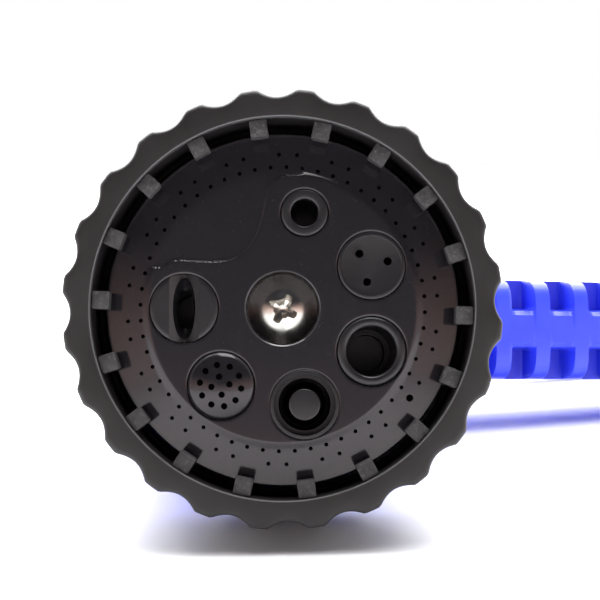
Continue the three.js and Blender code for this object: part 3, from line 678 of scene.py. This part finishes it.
def grip_surface():
    """A rounded rectangle is carried along the grip. Where a smooth mask across and along the grip says
    so, all that stands before the pockets' floor is pressed back to it."""
    near_end = GRIP_LENGTH - GRIP_EDGE
    stations = np.concatenate([[-6.0], np.arange(0.0, near_end, 0.35), [near_end, GRIP_LENGTH]])
    turn = np.linspace(0, 2 * np.pi, GRIP_SIDES, endpoint=False)
    power = 0.4
    section_off = np.sign(np.cos(turn)) * np.abs(np.cos(turn)) ** power
    section_z = np.sign(np.sin(turn)) * np.abs(np.sin(turn)) ** power
    off = np.where(section_off < 0, section_off * GRIP_FRONT, section_off * GRIP_REAR)[None, :]
    s = stations[:, None]
    half = GRIP_HALF - (GRIP_HALF - GRIP_WAIST) * step((s - WAIST_START) / 2.0)
    ends = np.clip((GRIP_LENGTH - s) / GRIP_EDGE, 0, 1)
    shrink = 1 - 0.07 * (1 - ends) ** 2
    z = section_z[None, :] * half * shrink
    off = off * shrink + 0 * s
    phase = (s - FIRST_POCKET) % RIB_PITCH
    in_pocket = step(phase / 0.8) * step((POCKET - phase) / 0.8)
    in_pocket = in_pocket * (s > FIRST_POCKET) * (s < FIRST_POCKET + POCKETS * RIB_PITCH)
    beside_spine = step((np.abs(z) - SPINE_HALF) / 0.45)
    pressed = np.maximum(off, POCKET_DEPTH - GRIP_FRONT)
    off = off + in_pocket * beside_spine * (pressed - off)
    x, y = grip_point(s, off)
    return capped(np.stack([x, y, z], -1))


def loft(stations):
    """Rounded sections in x and z, one at each y: (y, low x, high x, half width), closed at both ends."""
    turn = np.linspace(0, 2 * np.pi, 64, endpoint=False)
    power = 0.42
    cx = np.sign(np.cos(turn)) * np.abs(np.cos(turn)) ** power
    cz = np.sign(np.sin(turn)) * np.abs(np.sin(turn)) ** power
    line = smooth_line(np.array(stations, float), 60)
    middle, half = (line[:, 1] + line[:, 2]) / 2, (line[:, 2] - line[:, 1]) / 2
    x = middle[:, None] + half[:, None] * cx
    y = line[:, :1] + 0 * x
    z = line[:, 3:] * cz[None]
    return capped(np.stack([x, y, z], -1))


# %% The flange, barrel and neck, joined with the grip
barrel_corners = [[0, 0.6], [14.5, 0.6], [14.5, 68], [17, 70], [17, 78], [9.0, 78], [9.0, 62], [0, 62]]
barrel = thing("barrel", [turned(refined(rounded(barrel_corners, [0, 0.5, 1, 1, 0.9, 0.5, 0.1, 0], 5), 6),
                                 (BARREL_X, 0), 96)])
flange_corners = [[0, 0.6], [23.5, 0.6], [23.5, 9.5], [15, 26], [0, 30]]
flange = thing("flange", [turned(refined(rounded(flange_corners, [0, 0.6, 3, 7, 0], 9), 4), (0, 0), 96)])
neck = thing("neck", [loft([(10, -16, 14, 9.5), (20, -16, 15, 9.6), (34, -16, 17, 9.4), (46, -16, 19, 9.3),
                            (60, -16, 22, 9.3), (70, -16, 18, 9.3), (77, -16, 11, 9.0)])])
grip = thing("blue_body", [grip_surface()])
post = thing("post", [rod(4, -13, 2, (0, 0), 40)])
join(grip, neck, barrel, flange, post)

# %% The ear for the lever's pin, and the holes
EAR_HALF = 4.0
EAR_RADIUS = 4.5
ear_outline = rounded([[PIVOT[0] - EAR_RADIUS, 68], [PIVOT[0] + 13, 70],
                       [PIVOT[0] + EAR_RADIUS, 90], [PIVOT[0] - EAR_RADIUS, 90]], 1, 6)


def slab(outline, half_width, bevel=0.5):
    """An outline in x and y carried across the gun, with its edges drawn in by the bevel."""
    middle = outline.mean(0)
    size = [(-half_width, 0), (-half_width, 1 - bevel / 6), (-half_width + bevel, 1), (half_width - bevel, 1),
            (half_width, 1 - bevel / 6), (half_width, 0)]
    rows = [np.insert(middle + (outline - middle) * k, 2, z, 1) for z, k in size]
    return np.stack(rows), False, True


join(grip, thing("ear", [slab(ear_outline, EAR_HALF)]), thing("eye", [across(EAR_RADIUS, EAR_HALF, PIVOT)]))
PIN_HOLE = 1.9
cut(grip, thing("pin_hole", [across(PIN_HOLE, 12, PIVOT, 0.1)]))
CLIP_ALONG, CLIP_OFF = 75.5, 6.5
clip_pivot = grip_point(CLIP_ALONG, CLIP_OFF)
cut(grip, thing("clip_hole", [across(1.3, 20, clip_pivot, 0.1)]))


def along_grip(grid, start):
    """A surface made about +y is laid along the grip from a point of the grip's line."""
    points, wrap_rows, wrap_columns = grid
    x, y = grip_point(points[..., 1] + start, points[..., 0])
    return np.stack([x, y, points[..., 2]], -1), wrap_rows, wrap_columns


socket = [[0, -16], [7.7, -16], [7.7, 3], [0, 3]]
cut(grip, thing("socket", [along_grip(turned(rounded(socket, 0.05, 2)), GRIP_LENGTH)]))
fit(grip, "handle", "blue_plastic", "gun_body")

# %% [markdown]
# ## The lever, its pin and the lock clip
#
# The lever is a bar with a soft rectangular section that follows a curved line from the fork, over its
# pin, to the tail. The lock clip is one bent wire, a circle carried along a path with rounded corners.

# %% The squeeze lever
LEVER_HALF = 7.8
LEVER_THICK = 3.0
SLOT_HALF = 4.4
TAIL = grip_point(85, 41)
LEVER_LINE = np.array([[BARREL_X, PIVOT[1]], PIVOT, grip_point(42.5, 38.5), TAIL])


def lever_surface():
    """A rounded rectangle is carried along the lever's line, square to it, and closed at both ends."""
    power = 0.36
    line = smooth_line(LEVER_LINE, 110)
    heading = np.gradient(line, axis=0)
    heading /= np.linalg.norm(heading, axis=1)[:, None]
    turn = np.linspace(0, 2 * np.pi, 72, endpoint=False)
    across_bar = np.sign(np.cos(turn)) * np.abs(np.cos(turn)) ** power * LEVER_THICK
    z = np.sign(np.sin(turn)) * np.abs(np.sin(turn)) ** power * LEVER_HALF
    x = line[:, :1] - heading[:, 1:] * across_bar
    y = line[:, 1:] + heading[:, :1] * across_bar
    return capped(np.stack([x, y, z[None] + 0 * x], -1))


lever = thing("rear_lever", [lever_surface()])
join(lever, thing("nose", [across(3.5, LEVER_HALF, (BARREL_X, PIVOT[1]), 0.6)]),
     thing("boss", [across(4.5, LEVER_HALF, PIVOT, 0.6)]),
     thing("tail_end", [across(3.0, LEVER_HALF - 0.05, TAIL, 1.0)]))
slot_x = (BARREL_X - 8, PIVOT[0] + 16)
slot_y = (PIVOT[1] - 20, PIVOT[1] + 30)
cut(lever, thing("slot", [rounded_block(*slot_x, *slot_y, -SLOT_HALF, SLOT_HALF, 1.2, 0.1)]),
    thing("bore", [across(PIN_HOLE, 20, PIVOT, 0.1)]))
fit(lever, "lever", "black_plastic", "squeeze_lever")
pin = thing("headed_pin", [across(1.6, LEVER_HALF + 0.5, PIVOT, 0.35)])
fit(pin, "handle", "bright_steel", "lever_pin")

# %% The lock clip
WIRE = 1.0
CLIP_REACH = 21.5
ARM = GRIP_WAIST + 0.3 + WIRE
TANG = GRIP_WAIST - 3.4


def bent(points, radii, steps=9):
    """A line through the points whose corners are quadratic blends between points a radius away."""
    points = np.asarray(points, float)
    parts = [points[:1]]
    t = np.linspace(0, 1, steps)[:, None]
    for i, radius in enumerate(radii, 1):
        back = points[i - 1] - points[i]
        on = points[i + 1] - points[i]
        enter = points[i] + back * radius / np.linalg.norm(back)
        leave = points[i] + on * radius / np.linalg.norm(on)
        parts.append((1 - t) ** 2 * enter + 2 * t * (1 - t) * points[i] + t**2 * leave)
    parts.append(points[-1:])
    return np.concatenate(parts)


rise = GRIP_REAR + 0.3 + WIRE - CLIP_OFF
run = math.sqrt(CLIP_REACH**2 - rise**2)
clip_bar = grip_point(CLIP_ALONG + run, CLIP_OFF + rise)
clip_path = bent([[*clip_pivot, -TANG], [*clip_pivot, -ARM], [*clip_bar, -ARM], [*clip_bar, ARM],
                  [*clip_pivot, ARM], [*clip_pivot, TANG]], [1.1, 3, 3, 1.1])
clip = thing("wire_clip", [tube_along(clip_path, WIRE, sides=18)])
fit(clip, "clip", "bright_steel", "lock_clip")

# %% [markdown]
# ## Valve parts at the rear
#
# The gland nut, the stem with its thread, the washer and the ribbed thumb nut are turned parts. The
# thread is cut by letting the radius rise and fall with the angle as well as with the height.

# %% The gland, stem, washer and nut
gland_corners = [[2.8, 66.4], [2.8, 82.7], [8.7, 82.7], [8.7, 64], [4.9, 64], [4.9, 66.4]]
gland = thing("gland_plug", [turned(rounded(gland_corners, 0.25, 3), (BARREL_X, 0))])
hexagon = [[8.2, 78.3], [12.6, 78.3], [12.6, 82.7], [8.2, 82.7]]


def six_sided(profile, place):
    """A turned profile whose outer radius follows a hexagon with rounded corners."""
    angle = np.linspace(0, 2 * np.pi, 120, endpoint=False)[None, :]
    flat = np.cos(np.pi / 6) / np.cos((angle % (np.pi / 3)) - np.pi / 6)
    r, y = profile[:, :1], profile[:, 1:]
    r = np.where(r > 10, np.minimum(r * flat, 12.3), r)
    return round_axis(r, y, angle, place), True, True


join(gland, thing("hexagon", [six_sided(rounded(hexagon, [0.1, 0.5, 0.5, 0.3], 4), (BARREL_X, 0))]))
fit(gland, "handle", "black_plastic", "gland_nut")


def threaded(radius, low, high, pitch, depth, place):
    """A threaded rod: the radius dips by a rounded wave of the height plus the angle's share of a pitch.
    Ten rows draw one turn of the thread."""
    y = np.linspace(low, high, int((high - low) / pitch * 10))[:, None]
    angle = np.linspace(0, 2 * np.pi, 40, endpoint=False)[None, :]
    wave = 0.5 + 0.5 * np.cos(2 * np.pi * (y / pitch - angle / (2 * np.pi)))
    fade = step((y - low) / pitch) * step((high - y) / pitch)
    r = radius - depth * wave**1.5 * fade
    r[-1] *= 0.9
    return capped(round_axis(r, y, angle, place))


stem_corners = [[0, 29], [2, 29], [2, 32.6], [6.5, 32.6], [6.5, 36], [2.5, 36], [2.5, 91], [0, 91]]
stem_rounding = [0, 0.3, 0.2, 0.4, 0.4, 0.5, 0, 0]
stem = thing("pull_rod", [turned(rounded(stem_corners, stem_rounding, 4), (BARREL_X, 0), 48)])
join(stem, thing("thread", [threaded(STEM, 90, 107, 1.25, 0.35, (BARREL_X, 0))]))
fit(stem, "stem", "brass", "valve_stem")
washer = [[2.8, WASHER_FRONT], [8, WASHER_FRONT], [8, WASHER_FRONT + 0.8], [2.8, WASHER_FRONT + 0.8]]
flat_washer = thing("flat_washer", [turned(rounded(washer, 0.15, 3), (BARREL_X, 0))])
fit(flat_washer, "washer", "bright_steel", "nut_washer")


NUT_RIBS = 14


def ribbed_nut():
    """A ring whose outer wall carries rounded ribs: the radius dips with the cosine of the angle times
    the rib count, fading at both rims."""
    top = NUT_FRONT + NUT_LENGTH
    corners = [[2.8, NUT_FRONT], [8, NUT_FRONT], [8, top], [2.8, top]]
    profile = refined(rounded(corners, [0.3, 0.6, 0.9, 0.3], 5), 1.2)
    angle = np.linspace(0, 2 * np.pi, NUT_RIBS * 12, endpoint=False)[None, :]
    r, y = profile[:, :1], profile[:, 1:]
    dip = 0.7 * (0.5 - 0.5 * np.cos(NUT_RIBS * angle)) ** 0.7
    r = r - dip * step((r - 5.5) / 2.5)
    return round_axis(r, y, angle, (BARREL_X, 0)), True, True


fit(thing("thumb_nut", [ribbed_nut()]), "nut", "brass", "flow_nut")

# %% [markdown]
# ## The hose end and the soft parts

# %% The hose nipple, its O-ring and the inlet washer
nipple_corners = [[4.3, -14], [7.4, -14], [7.4, 0.3], [9, 0.3], [9, 5.3], [6.2, 5.3], [6.2, 10.3],
                  [7.9, 11.8], [7.9, 13.8], [6.2, 14.3], [6.2, 17.3], [6.9, 18.3], [6.9, 21.3],
                  [5.25, 21.3], [5.25, 23.7], [6.9, 23.7], [6.9, 25.3], [5.9, 26.3], [4.3, 26.3]]
nipple = thing("quick_nipple", [along_grip(turned(rounded(nipple_corners, 0.35, 4)), GRIP_LENGTH)])
fit(nipple, "handle", "black_plastic", "hose_nipple")


def torus(centre_radius, section, y, place=(0.0, 0.0)):
    """An O-ring: a circle of the section's radius carried round the axis."""
    turn = np.linspace(0, 2 * np.pi, 20, endpoint=False)
    circle = np.stack([centre_radius + section * np.cos(turn), y + section * np.sin(turn)], -1)
    return turned(circle, place, 72)


o_ring = thing("nipple_ring", [along_grip(torus(6.35, 0.95, 22.5), GRIP_LENGTH)])
fit(o_ring, "handle", "rubber", "nipple_o_ring")
grommet = [[4.3, -15.7], [7.4, -15.7], [7.4, -14.3], [4.3, -14.3]]
inlet = thing("inlet_gasket", [along_grip(turned(rounded(grommet, 0.2, 3)), GRIP_LENGTH)])
fit(inlet, "handle", "rubber", "inlet_washer")

# %% Seals inside
sleeve = [[2.6, 0.4], [4.6, 0.4], [4.6, 4.6], [2.6, 4.6]]
seal = thing("face_seal", [turned(rounded(sleeve, 0.35, 4), (BARREL_X, 0))])
fit(seal, "handle", "rubber", "outlet_seal")
disc = [[2.3, 30.3], [6.5, 30.3], [6.5, 32.3], [2.3, 32.3]]
fit(thing("valve_disc", [turned(rounded(disc, 0.3, 4), (BARREL_X, 0))]), "stem", "rubber", "valve_washer")
fit(thing("stem_seal", [torus(3.7, 0.88, 65.2, (BARREL_X, 0))]), "handle", "rubber", "stem_o_ring")
slip = [[2.8, -14.1], [5.6, -14.1], [5.6, -13.3], [2.8, -13.3]]
fit(thing("slip_washer", [turned(rounded(slip, 0.15, 3))]), "handle", "acetal", "dial_washer")


# %% Springs, each with its last turns closed up flat
def coil(radius, wire, low, high, turns, place):
    """A helix whose pitch fades to a close wind at both ends: height follows the smooth step of the turn."""
    t = np.linspace(0, 1, int(turns * 28))
    angle = 2 * np.pi * turns * t
    height = low + wire + (high - low - 2 * wire) * (0.25 * t + 0.75 * step(t))
    path = [place[0] + radius * np.cos(angle), height, place[1] + radius * np.sin(angle)]
    return tube_along(np.stack(path, -1), wire, sides=12)


valve_coil = coil(5.6, 0.7, 36.3, 63.7, 8, (BARREL_X, 0))
seal_coil = coil(3.7, 0.45, 4.9, 13.7, 5, (BARREL_X, 0))
detent_coil = coil(1.5, 0.35, 4.7, 8.7, 4, (DETENT_X, 0))
fit(thing("valve_coil", [valve_coil]), "handle", "spring_steel", "return_spring")
fit(thing("seal_coil", [seal_coil]), "handle", "spring_steel", "seal_spring")
fit(thing("detent_coil", [detent_coil]), "handle", "spring_steel", "detent_spring")
click_ball = ball((DETENT_X, 2.4, 0), (2, 2, 2), 28, 48)
fit(thing("click_ball", [click_ball]), "detent", "bright_steel", "detent_ball")

# %% The distributor at the dial's back
back_corners = [[24.1, 0], [24.1, -6], [6.4, -6], [6.4, -12.6], [4.4, -12.6], [4.4, 0]]
distributor = thing("distributor", [turned(refined(rounded(back_corners, 0.4, 4), 3), sides=96)])
ports = [rod(2.6, -8, 2, pattern_place(i), 32) for i in range(7)]
sockets = [rod(4.2, -8, -4.4, pattern_place(i), 40) for i in range(7) if i != 1]
pockets = [round_dial(ball((DETENT_X, 1.2, 0), (2.2, 2.2, 2.2), 16, 28), 360 / 7 * i) for i in range(7)]
cut(distributor, thing("ports", ports), thing("sockets", sockets), thing("pockets", pockets))
fit(distributor, "dial", "black_plastic", "dial_back")
print(len(finished), "pieces made")

# %% [markdown]
# ## Finishes
#
# A material is written as arithmetic on sockets. One small class wraps a socket, so that a plus sign
# adds a Math node, and one method makes any other node.

# %% Arithmetic on sockets
class Value:
    """A number that varies over the surface: an output socket that can be added, multiplied and so on."""

    def __init__(self, finish, socket):
        self.finish, self.socket = finish, socket

    def _with(self, operation, first, second):
        return self.finish.node("ShaderNodeMath", {"operation": operation}, {0: first, 1: second})

    def __add__(self, other):
        return self._with("ADD", self, other)

    __radd__ = __add__

    def __sub__(self, other):
        return self._with("SUBTRACT", self, other)

    def __rsub__(self, other):
        return self._with("SUBTRACT", other, self)

    def __mul__(self, other):
        return self._with("MULTIPLY", self, other)

    __rmul__ = __mul__

    def above(self, low, high):
        """0 up to low, 1 from high, straight between."""
        inputs = {"Value": self, 1: low, 2: high}
        return self.finish.node("ShaderNodeMapRange", {"clamp": True}, inputs, "Result")


class Finish:
    """One material: its node tree, its shader and the calls that fill it."""

    def __init__(self, name, color, roughness, metallic=0.0, **constants):
        self.material = bpy.data.materials.new(name)
        self.material.use_nodes = True
        self.tree = self.material.node_tree
        self.shader = next(n for n in self.tree.nodes if n.type == "BSDF_PRINCIPLED")
        self.set("Base Color", (*color, 1.0))
        self.set("Roughness", roughness)
        self.set("Metallic", metallic)
        for socket, value in constants.items():
            self.set(socket.replace("_", " "), value)
        self.place = self.node("ShaderNodeTexCoord", {}, {}, "Object")

    def node(self, kind, settings, inputs, output=0):
        """Any node: its settings first, then a value or a link for each input."""
        node = self.tree.nodes.new(kind)
        for key, value in settings.items():
            setattr(node, key, value)
        for key, value in inputs.items():
            self.feed(node.inputs[key], value)
        return Value(self, node.outputs[output])

    def feed(self, socket, value):
        """An input socket gets a link, or a plain value."""
        if isinstance(value, Value):
            self.tree.links.new(value.socket, socket)
        else:
            socket.default_value = value

    def set(self, socket, value):
        """The same for a named input of the shader."""
        self.feed(self.shader.inputs[socket], value)

    def noise(self, scale, detail=3.0, roughness=0.55):
        """Noise of so many cells to a metre."""
        inputs = {"Vector": self.place, "Scale": scale, "Detail": detail, "Roughness": roughness}
        return self.node("ShaderNodeTexNoise", {}, inputs)

    def stretched(self, scale, stretch):
        """Noise drawn out along some axes, for scratches and drawing marks."""
        place = self.node("ShaderNodeMapping", {}, {"Vector": self.place, "Scale": stretch})
        return self.node("ShaderNodeTexNoise", {}, {"Vector": place, "Scale": scale, "Detail": 2.0})

    def dot(self, place, direction):
        """How far a place is along a direction: the sum of the products of their three numbers."""
        inputs = {0: place, 1: tuple(direction)}
        return self.node("ShaderNodeVectorMath", {"operation": "DOT_PRODUCT"}, inputs, "Value")

    def blend(self, share, first, second):
        """A colour between two colours."""
        ends = [end if isinstance(end, Value) else (*end, 1.0) for end in (first, second)]
        inputs = {0: share, 6: ends[0], 7: ends[1]}
        return self.node("ShaderNodeMix", {"data_type": "RGBA"}, inputs, 2)

    def bump(self, height, distance, strength):
        """The height tilts the surface's normal."""
        inputs = {"Height": height, "Distance": distance, "Strength": strength}
        self.set("Normal", self.node("ShaderNodeBump", {}, inputs))


# %% The black plastics
def satin_black():
    """The moulded ring: a painted highlight, a light line of base colour along the mouth's edge, told by its
    distance from the dial's axis and kept to the front of the dial."""
    finish = Finish("satin_black_plastic", (0.022, 0.021, 0.022), 0.42, IOR=1.46)
    cloud = finish.noise(90, 4)
    grain = finish.noise(2600, 2)
    plain = finish.blend(cloud.above(0.35, 0.7), (0.0085, 0.0072, 0.0075), (0.0125, 0.0107, 0.0111))
    from_middle = finish.node("ShaderNodeVectorMath", {"operation": "SUBTRACT"},
                              {0: finish.place, 1: tuple(gun_origin)})
    turned_away = finish.node("ShaderNodeVectorMath", {"operation": "CROSS_PRODUCT"},
                              {0: from_middle, 1: tuple(gun_back)})
    radius = 1000 * finish.node("ShaderNodeVectorMath", {"operation": "LENGTH"}, {0: turned_away}, "Value")
    behind = 1000 * finish.dot(from_middle, gun_back)
    at_front = 1 - behind.above(DIAL_FRONT + 1, DIAL_FRONT + 1.5)
    # Painted highlight: the base colour is lightened to a pale line along the lip's edge, where its bevel
    # would catch the light.
    painted_lip_highlight = at_front * radius.above(LIP - 0.05, LIP + 0.03) * (1 - radius.above(LIP + 0.1, LIP + 0.22))
    finish.set("Base Color", finish.blend(painted_lip_highlight * 0.75, plain, (0.13, 0.13, 0.135)))
    finish.set("Roughness", 0.36 + 0.12 * cloud.above(0.3, 0.7) + 0.05 * grain)
    finish.bump(grain, 0.00002, 0.5)
    return finish.material


def moulded_black():
    """The inserts: a little glossier than the ring."""
    finish = Finish("moulded_insert_plastic", (0.011, 0.0105, 0.0120), 0.3, IOR=1.47)
    cloud = finish.noise(160, 3)
    color = finish.blend(cloud.above(0.35, 0.7), (0.0095, 0.009, 0.0105), (0.015, 0.014, 0.016))
    finish.set("Base Color", color)
    finish.set("Roughness", 0.24 + 0.12 * cloud)
    return finish.material


def polished_black():
    """The face plate and the rose: polished, with wipe marks and a little dust."""
    finish = Finish("polished_black_plastic", (0.012, 0.0105, 0.0108), 0.12, IOR=1.5)
    cloud = finish.noise(140, 3)
    dust = finish.noise(3200, 2).above(0.68, 0.76)
    wipe = finish.stretched(500, (1.0, 1.0, 0.12)).above(0.62, 0.8)
    finish.set("Base Color", finish.blend(dust * 0.35, (0.0125, 0.0115, 0.0135), (0.05, 0.047, 0.046)))
    finish.set("Specular Tint", (1.0, 0.93, 0.95, 1.0))
    finish.set("Roughness", 0.09 + 0.05 * cloud + 0.10 * wipe + 0.2 * dust)
    return finish.material


def worn_black():
    """The lugs: rough, with pale scuffs."""
    finish = Finish("worn_lug_plastic", (0.07, 0.07, 0.07), 0.6, IOR=1.46)
    patch = finish.noise(900, 5, 0.7)
    scuffs = finish.noise(2400, 3, 0.8).above(0.56, 0.68)
    body = finish.blend(patch.above(0.36, 0.66), (0.020, 0.020, 0.021), (0.048, 0.047, 0.047))
    finish.set("Base Color", finish.blend(scuffs * 0.7, body, (0.13, 0.13, 0.13)))
    finish.set("Roughness", 0.5 + 0.2 * patch)
    finish.bump(patch, 0.00008, 0.7)
    return finish.material


# %% The blue plastic
GRIP_OFF = -math.sin(GRIP_SLANT) * GUN[0] + math.cos(GRIP_SLANT) * GUN[1]
GRIP_ALONG = math.cos(GRIP_SLANT) * GUN[0] + math.sin(GRIP_SLANT) * GUN[1]
GRIP_PLACE = to_row([GRIP_START[0], GRIP_START[1], 0])


def blue_abs():
    """The body: painted shade, a darker blue in the grip's pockets and near-black on the flange's front,
    which the dial covers.
    """
    finish = Finish("blue_plastic", (0.012, 0.035, 0.78), 0.33, IOR=1.47)
    cloud = finish.noise(70, 3)
    grain = finish.noise(2200, 2)
    # Painted shade: the flange's face behind the dial is coloured near-black in place of the shade it lies
    # in.
    painted_shade_on_flange = 1 - (finish.dot(finish.place, gun_back) - float(gun_origin @ gun_back)).above(0.0008, 0.0012)
    blue = finish.blend(cloud.above(0.35, 0.7), (0.040, 0.066, 0.78), (0.055, 0.090, 0.92))
    off = finish.dot(finish.place, GRIP_OFF)
    side = finish.dot(finish.place, GUN[2])
    along = finish.dot(finish.place, GRIP_ALONG)
    depth = 1000 * (off - float(GRIP_PLACE @ GRIP_OFF)) + GRIP_FRONT
    outward = 1000 * (side - float(GRIP_PLACE @ GUN[2]))
    past_start = 1000 * (along - float(GRIP_PLACE @ GRIP_ALONG))
    # Painted shade: the floors and walls of the grip's pockets between the ribs are coloured a darker blue
    # for the shade inside them.
    inside = (1 - outward.above(9.2, 9.4)) * outward.above(-9.4, -9.2) * past_start.above(4, 5)
    painted_pocket_shade = inside * depth.above(1.0, 4.0) * (1 - depth.above(8, 9))
    blue = finish.blend(painted_pocket_shade * 0.6, blue, (0.006, 0.010, 0.42))
    finish.set("Base Color", finish.blend(painted_shade_on_flange, blue, (0.012, 0.012, 0.014)))
    finish.set("Roughness", 0.28 + 0.1 * cloud + 0.05 * grain)
    finish.bump(grain, 0.00002, 0.45)
    return finish.material


# %% The metals, the rubber and the acetal
def bright_plate():
    """Nickel plate with a haze."""
    finish = Finish("bright_nickel", (0.74, 0.70, 0.66), 0.16, 1.0)
    haze = finish.noise(700, 4)
    finish.set("Base Color", finish.blend(haze.above(0.4, 0.75), (0.56, 0.54, 0.50), (0.40, 0.38, 0.35)))
    finish.set("Roughness", 0.17 + 0.12 * haze.above(0.35, 0.75))
    return finish.material


def spring_wire():
    """Drawn wire, with marks along it."""
    finish = Finish("spring_wire", (0.55, 0.55, 0.56), 0.3, 1.0)
    marks = finish.stretched(1800, (1.0, 0.2, 1.0))
    finish.set("Roughness", 0.22 + 0.2 * marks)
    return finish.material


def soft_rubber():
    """Black rubber with a pale bloom."""
    finish = Finish("rubber", (0.018, 0.018, 0.019), 0.8, IOR=1.5)
    bloom = finish.noise(600, 4)
    finish.set("Base Color", finish.blend(bloom.above(0.45, 0.8), (0.016, 0.016, 0.017), (0.04, 0.04, 0.041)))
    finish.set("Roughness", 0.7 + 0.2 * bloom)
    return finish.material


def pale_acetal():
    """Natural acetal."""
    finish = Finish("acetal", (0.8, 0.78, 0.73), 0.45, IOR=1.48)
    finish.set("Roughness", 0.4 + 0.15 * finish.noise(800, 3))
    return finish.material


def turned_brass():
    """Brass with turning lines and some tarnish."""
    finish = Finish("turned_brass", (0.72, 0.48, 0.18), 0.25, 1.0)
    tarnish = finish.noise(260, 4)
    lines = finish.stretched(900, (0.2, 3.0, 0.2))
    finish.set("Base Color", finish.blend(tarnish.above(0.45, 0.8), (0.76, 0.52, 0.2), (0.42, 0.26, 0.1)))
    finish.set("Roughness", 0.18 + 0.2 * tarnish + 0.1 * lines)
    return finish.material


# %% Each piece gets its finish
finishes = {"black_plastic": satin_black(), "black_gloss": polished_black(), "blue_plastic": blue_abs(),
            "bright_steel": bright_plate(), "spring_steel": spring_wire(), "rubber": soft_rubber(),
            "acetal": pale_acetal(), "brass": turned_brass()}
for obj in finished:
    obj.data.materials.clear()
    obj.data.materials.append(finishes[obj["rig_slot"]])
lugs.data.materials[0] = worn_black()
insert_finish = moulded_black()
for obj in (fan, jet, mist, full, cone, plug):
    obj.data.materials[0] = insert_finish
print(len(finishes) + 2, "finishes")

# %% [markdown]
# ## The camera and the light
#
# The camera looks almost straight along the dial's axis from about twenty centimetres, a little from
# above, so the dial stays round and the grip shows past its right edge. It is rolled by the degree that
# the gun itself is rolled, which keeps the grip level.

# %% The camera
FACE = to_row([0, DIAL_FRONT, 0])
DISTANCE = 0.188
FOCAL = 86.3
ELEVATION = math.radians(5.7)
SIDEWAYS, UPWARDS = 0.0023, 0.00094

camera_data = bpy.data.cameras.new("camera")
camera_data.lens = FOCAL
camera_data.sensor_width = 36
camera_data.clip_start = 0.01
camera = bpy.data.objects.new("camera", camera_data)
bpy.context.scene.collection.objects.link(camera)
look_from = np.array([0, -math.cos(ELEVATION), math.sin(ELEVATION)])
right = GUN[0] - look_from * (GUN[0] @ look_from)
right /= np.linalg.norm(right)
up = np.cross(look_from, right)
spot = FACE + DISTANCE * look_from + SIDEWAYS * right + UPWARDS * up
camera.matrix_world = Matrix([[right[k], up[k], look_from[k], spot[k]] for k in range(3)] + [[0, 0, 0, 1]])
bpy.context.scene.camera = camera
print("camera at", spot.round(3).tolist())

# %% [markdown]
# The nozzle lies on a white table in front of a white wall, under one big soft box that hangs above and
# a little behind it. A weaker one in front and above thins out the shadow before the dial. The camera's
# side of the room is dim, with warmer sides. That keeps the polished plate and the screw dark in the
# middle and gives the sides of the plate's outer band a warm tint, while its lower part mirrors the
# bright table. The sky is white to the camera itself.

# %% The floor and the lamps
floor_mesh = bpy.data.meshes.new("floor")
floor_mesh.from_pydata([(-6, -6, 0), (6, -6, 0), (6, 6, 0), (-6, 6, 0)], [], [(0, 1, 2, 3)])
floor = bpy.data.objects.new("floor", floor_mesh)
bpy.context.scene.collection.objects.link(floor)
white_floor = Finish("white_table", (0.86, 0.86, 0.87), 0.5)
white_floor.set("Roughness", 0.45 + 0.1 * white_floor.noise(8))
floor_mesh.materials.append(white_floor.material)


LAMP_TARGET = (0, 0, 0.03)


def lamp(name, place, size, power):
    """A square soft box at a place, turned to face the middle of the nozzle."""
    data = bpy.data.lights.new(name, "AREA")
    data.size = size
    data.energy = power
    light = bpy.data.objects.new(name, data)
    bpy.context.scene.collection.objects.link(light)
    light.location = place
    toward = np.array(place) - np.array(LAMP_TARGET)
    light.rotation_euler = (math.acos(toward[2] / np.linalg.norm(toward)), 0,
                            math.atan2(toward[1], toward[0]) + math.pi / 2)


lamp("overhead_box", (-0.05, 0.6, 0.95), 1.8, 54)
lamp("fill_box", (0.1, -0.25, 1.2), 0.6, 7)
print("floor and two lamps")

# %% The sky
world = bpy.data.worlds.new("studio")
bpy.context.scene.world = world
world.use_nodes = True
sky = world.node_tree


def sky_node(kind, settings, inputs, output=0):
    """A node of the world: its settings, then a value or a link for each input."""
    node = sky.nodes.new(kind)
    for key, value in settings.items():
        setattr(node, key, value)
    for key, value in inputs.items():
        if isinstance(value, bpy.types.NodeSocket):
            sky.links.new(value, node.inputs[key])
        else:
            node.inputs[key].default_value = value
    return node.outputs[output]


def sky_mix(share, first, second):
    """A colour of the sky between two colours."""
    return sky_node("ShaderNodeMix", {"data_type": "RGBA"}, {0: share, 6: first, 7: second}, 2)


def sky_share(value, low, high):
    """0 up to low, 1 from high, and a smooth S between."""
    settings = {"clamp": True, "interpolation_type": "SMOOTHSTEP"}
    inputs = {"Value": value, 1: low, 2: high}
    return sky_node("ShaderNodeMapRange", settings, inputs, "Result")


direction = sky_node("ShaderNodeTexCoord", {}, {}, "Generated")
split = sky.nodes.new("ShaderNodeSeparateXYZ")
sky.links.new(direction, split.inputs[0])
sideways = sky_node("ShaderNodeMath", {"operation": "ABSOLUTE"}, {0: split.outputs["X"]})
room = sky_mix(sky_share(sideways, 0.05, 0.45), (0.26, 0.26, 0.29, 1), (1.15, 0.80, 0.72, 1))
room = sky_mix(sky_share(split.outputs["Z"], -0.03, 0.2), (1.7, 1.4, 1.35, 1), room)
room = sky_mix(sky_share(split.outputs["Z"], 0.1, 0.4), room, (0.05, 0.05, 0.06, 1))
glow = sky_mix(sky_share(split.outputs["Y"], -0.45, 0.25), room, (2.2, 2.2, 2.25, 1))
seen = sky_node("ShaderNodeLightPath", {}, {}, "Is Camera Ray")
sky_color = sky_mix(seen, glow, (1.0, 1.0, 1.0, 1))
background = next(n for n in sky.nodes if n.type == "BACKGROUND")
sky.links.new(sky_color, background.inputs["Color"])
background.inputs["Strength"].default_value = 1.0
bpy.context.scene.view_settings.view_transform = "Standard"
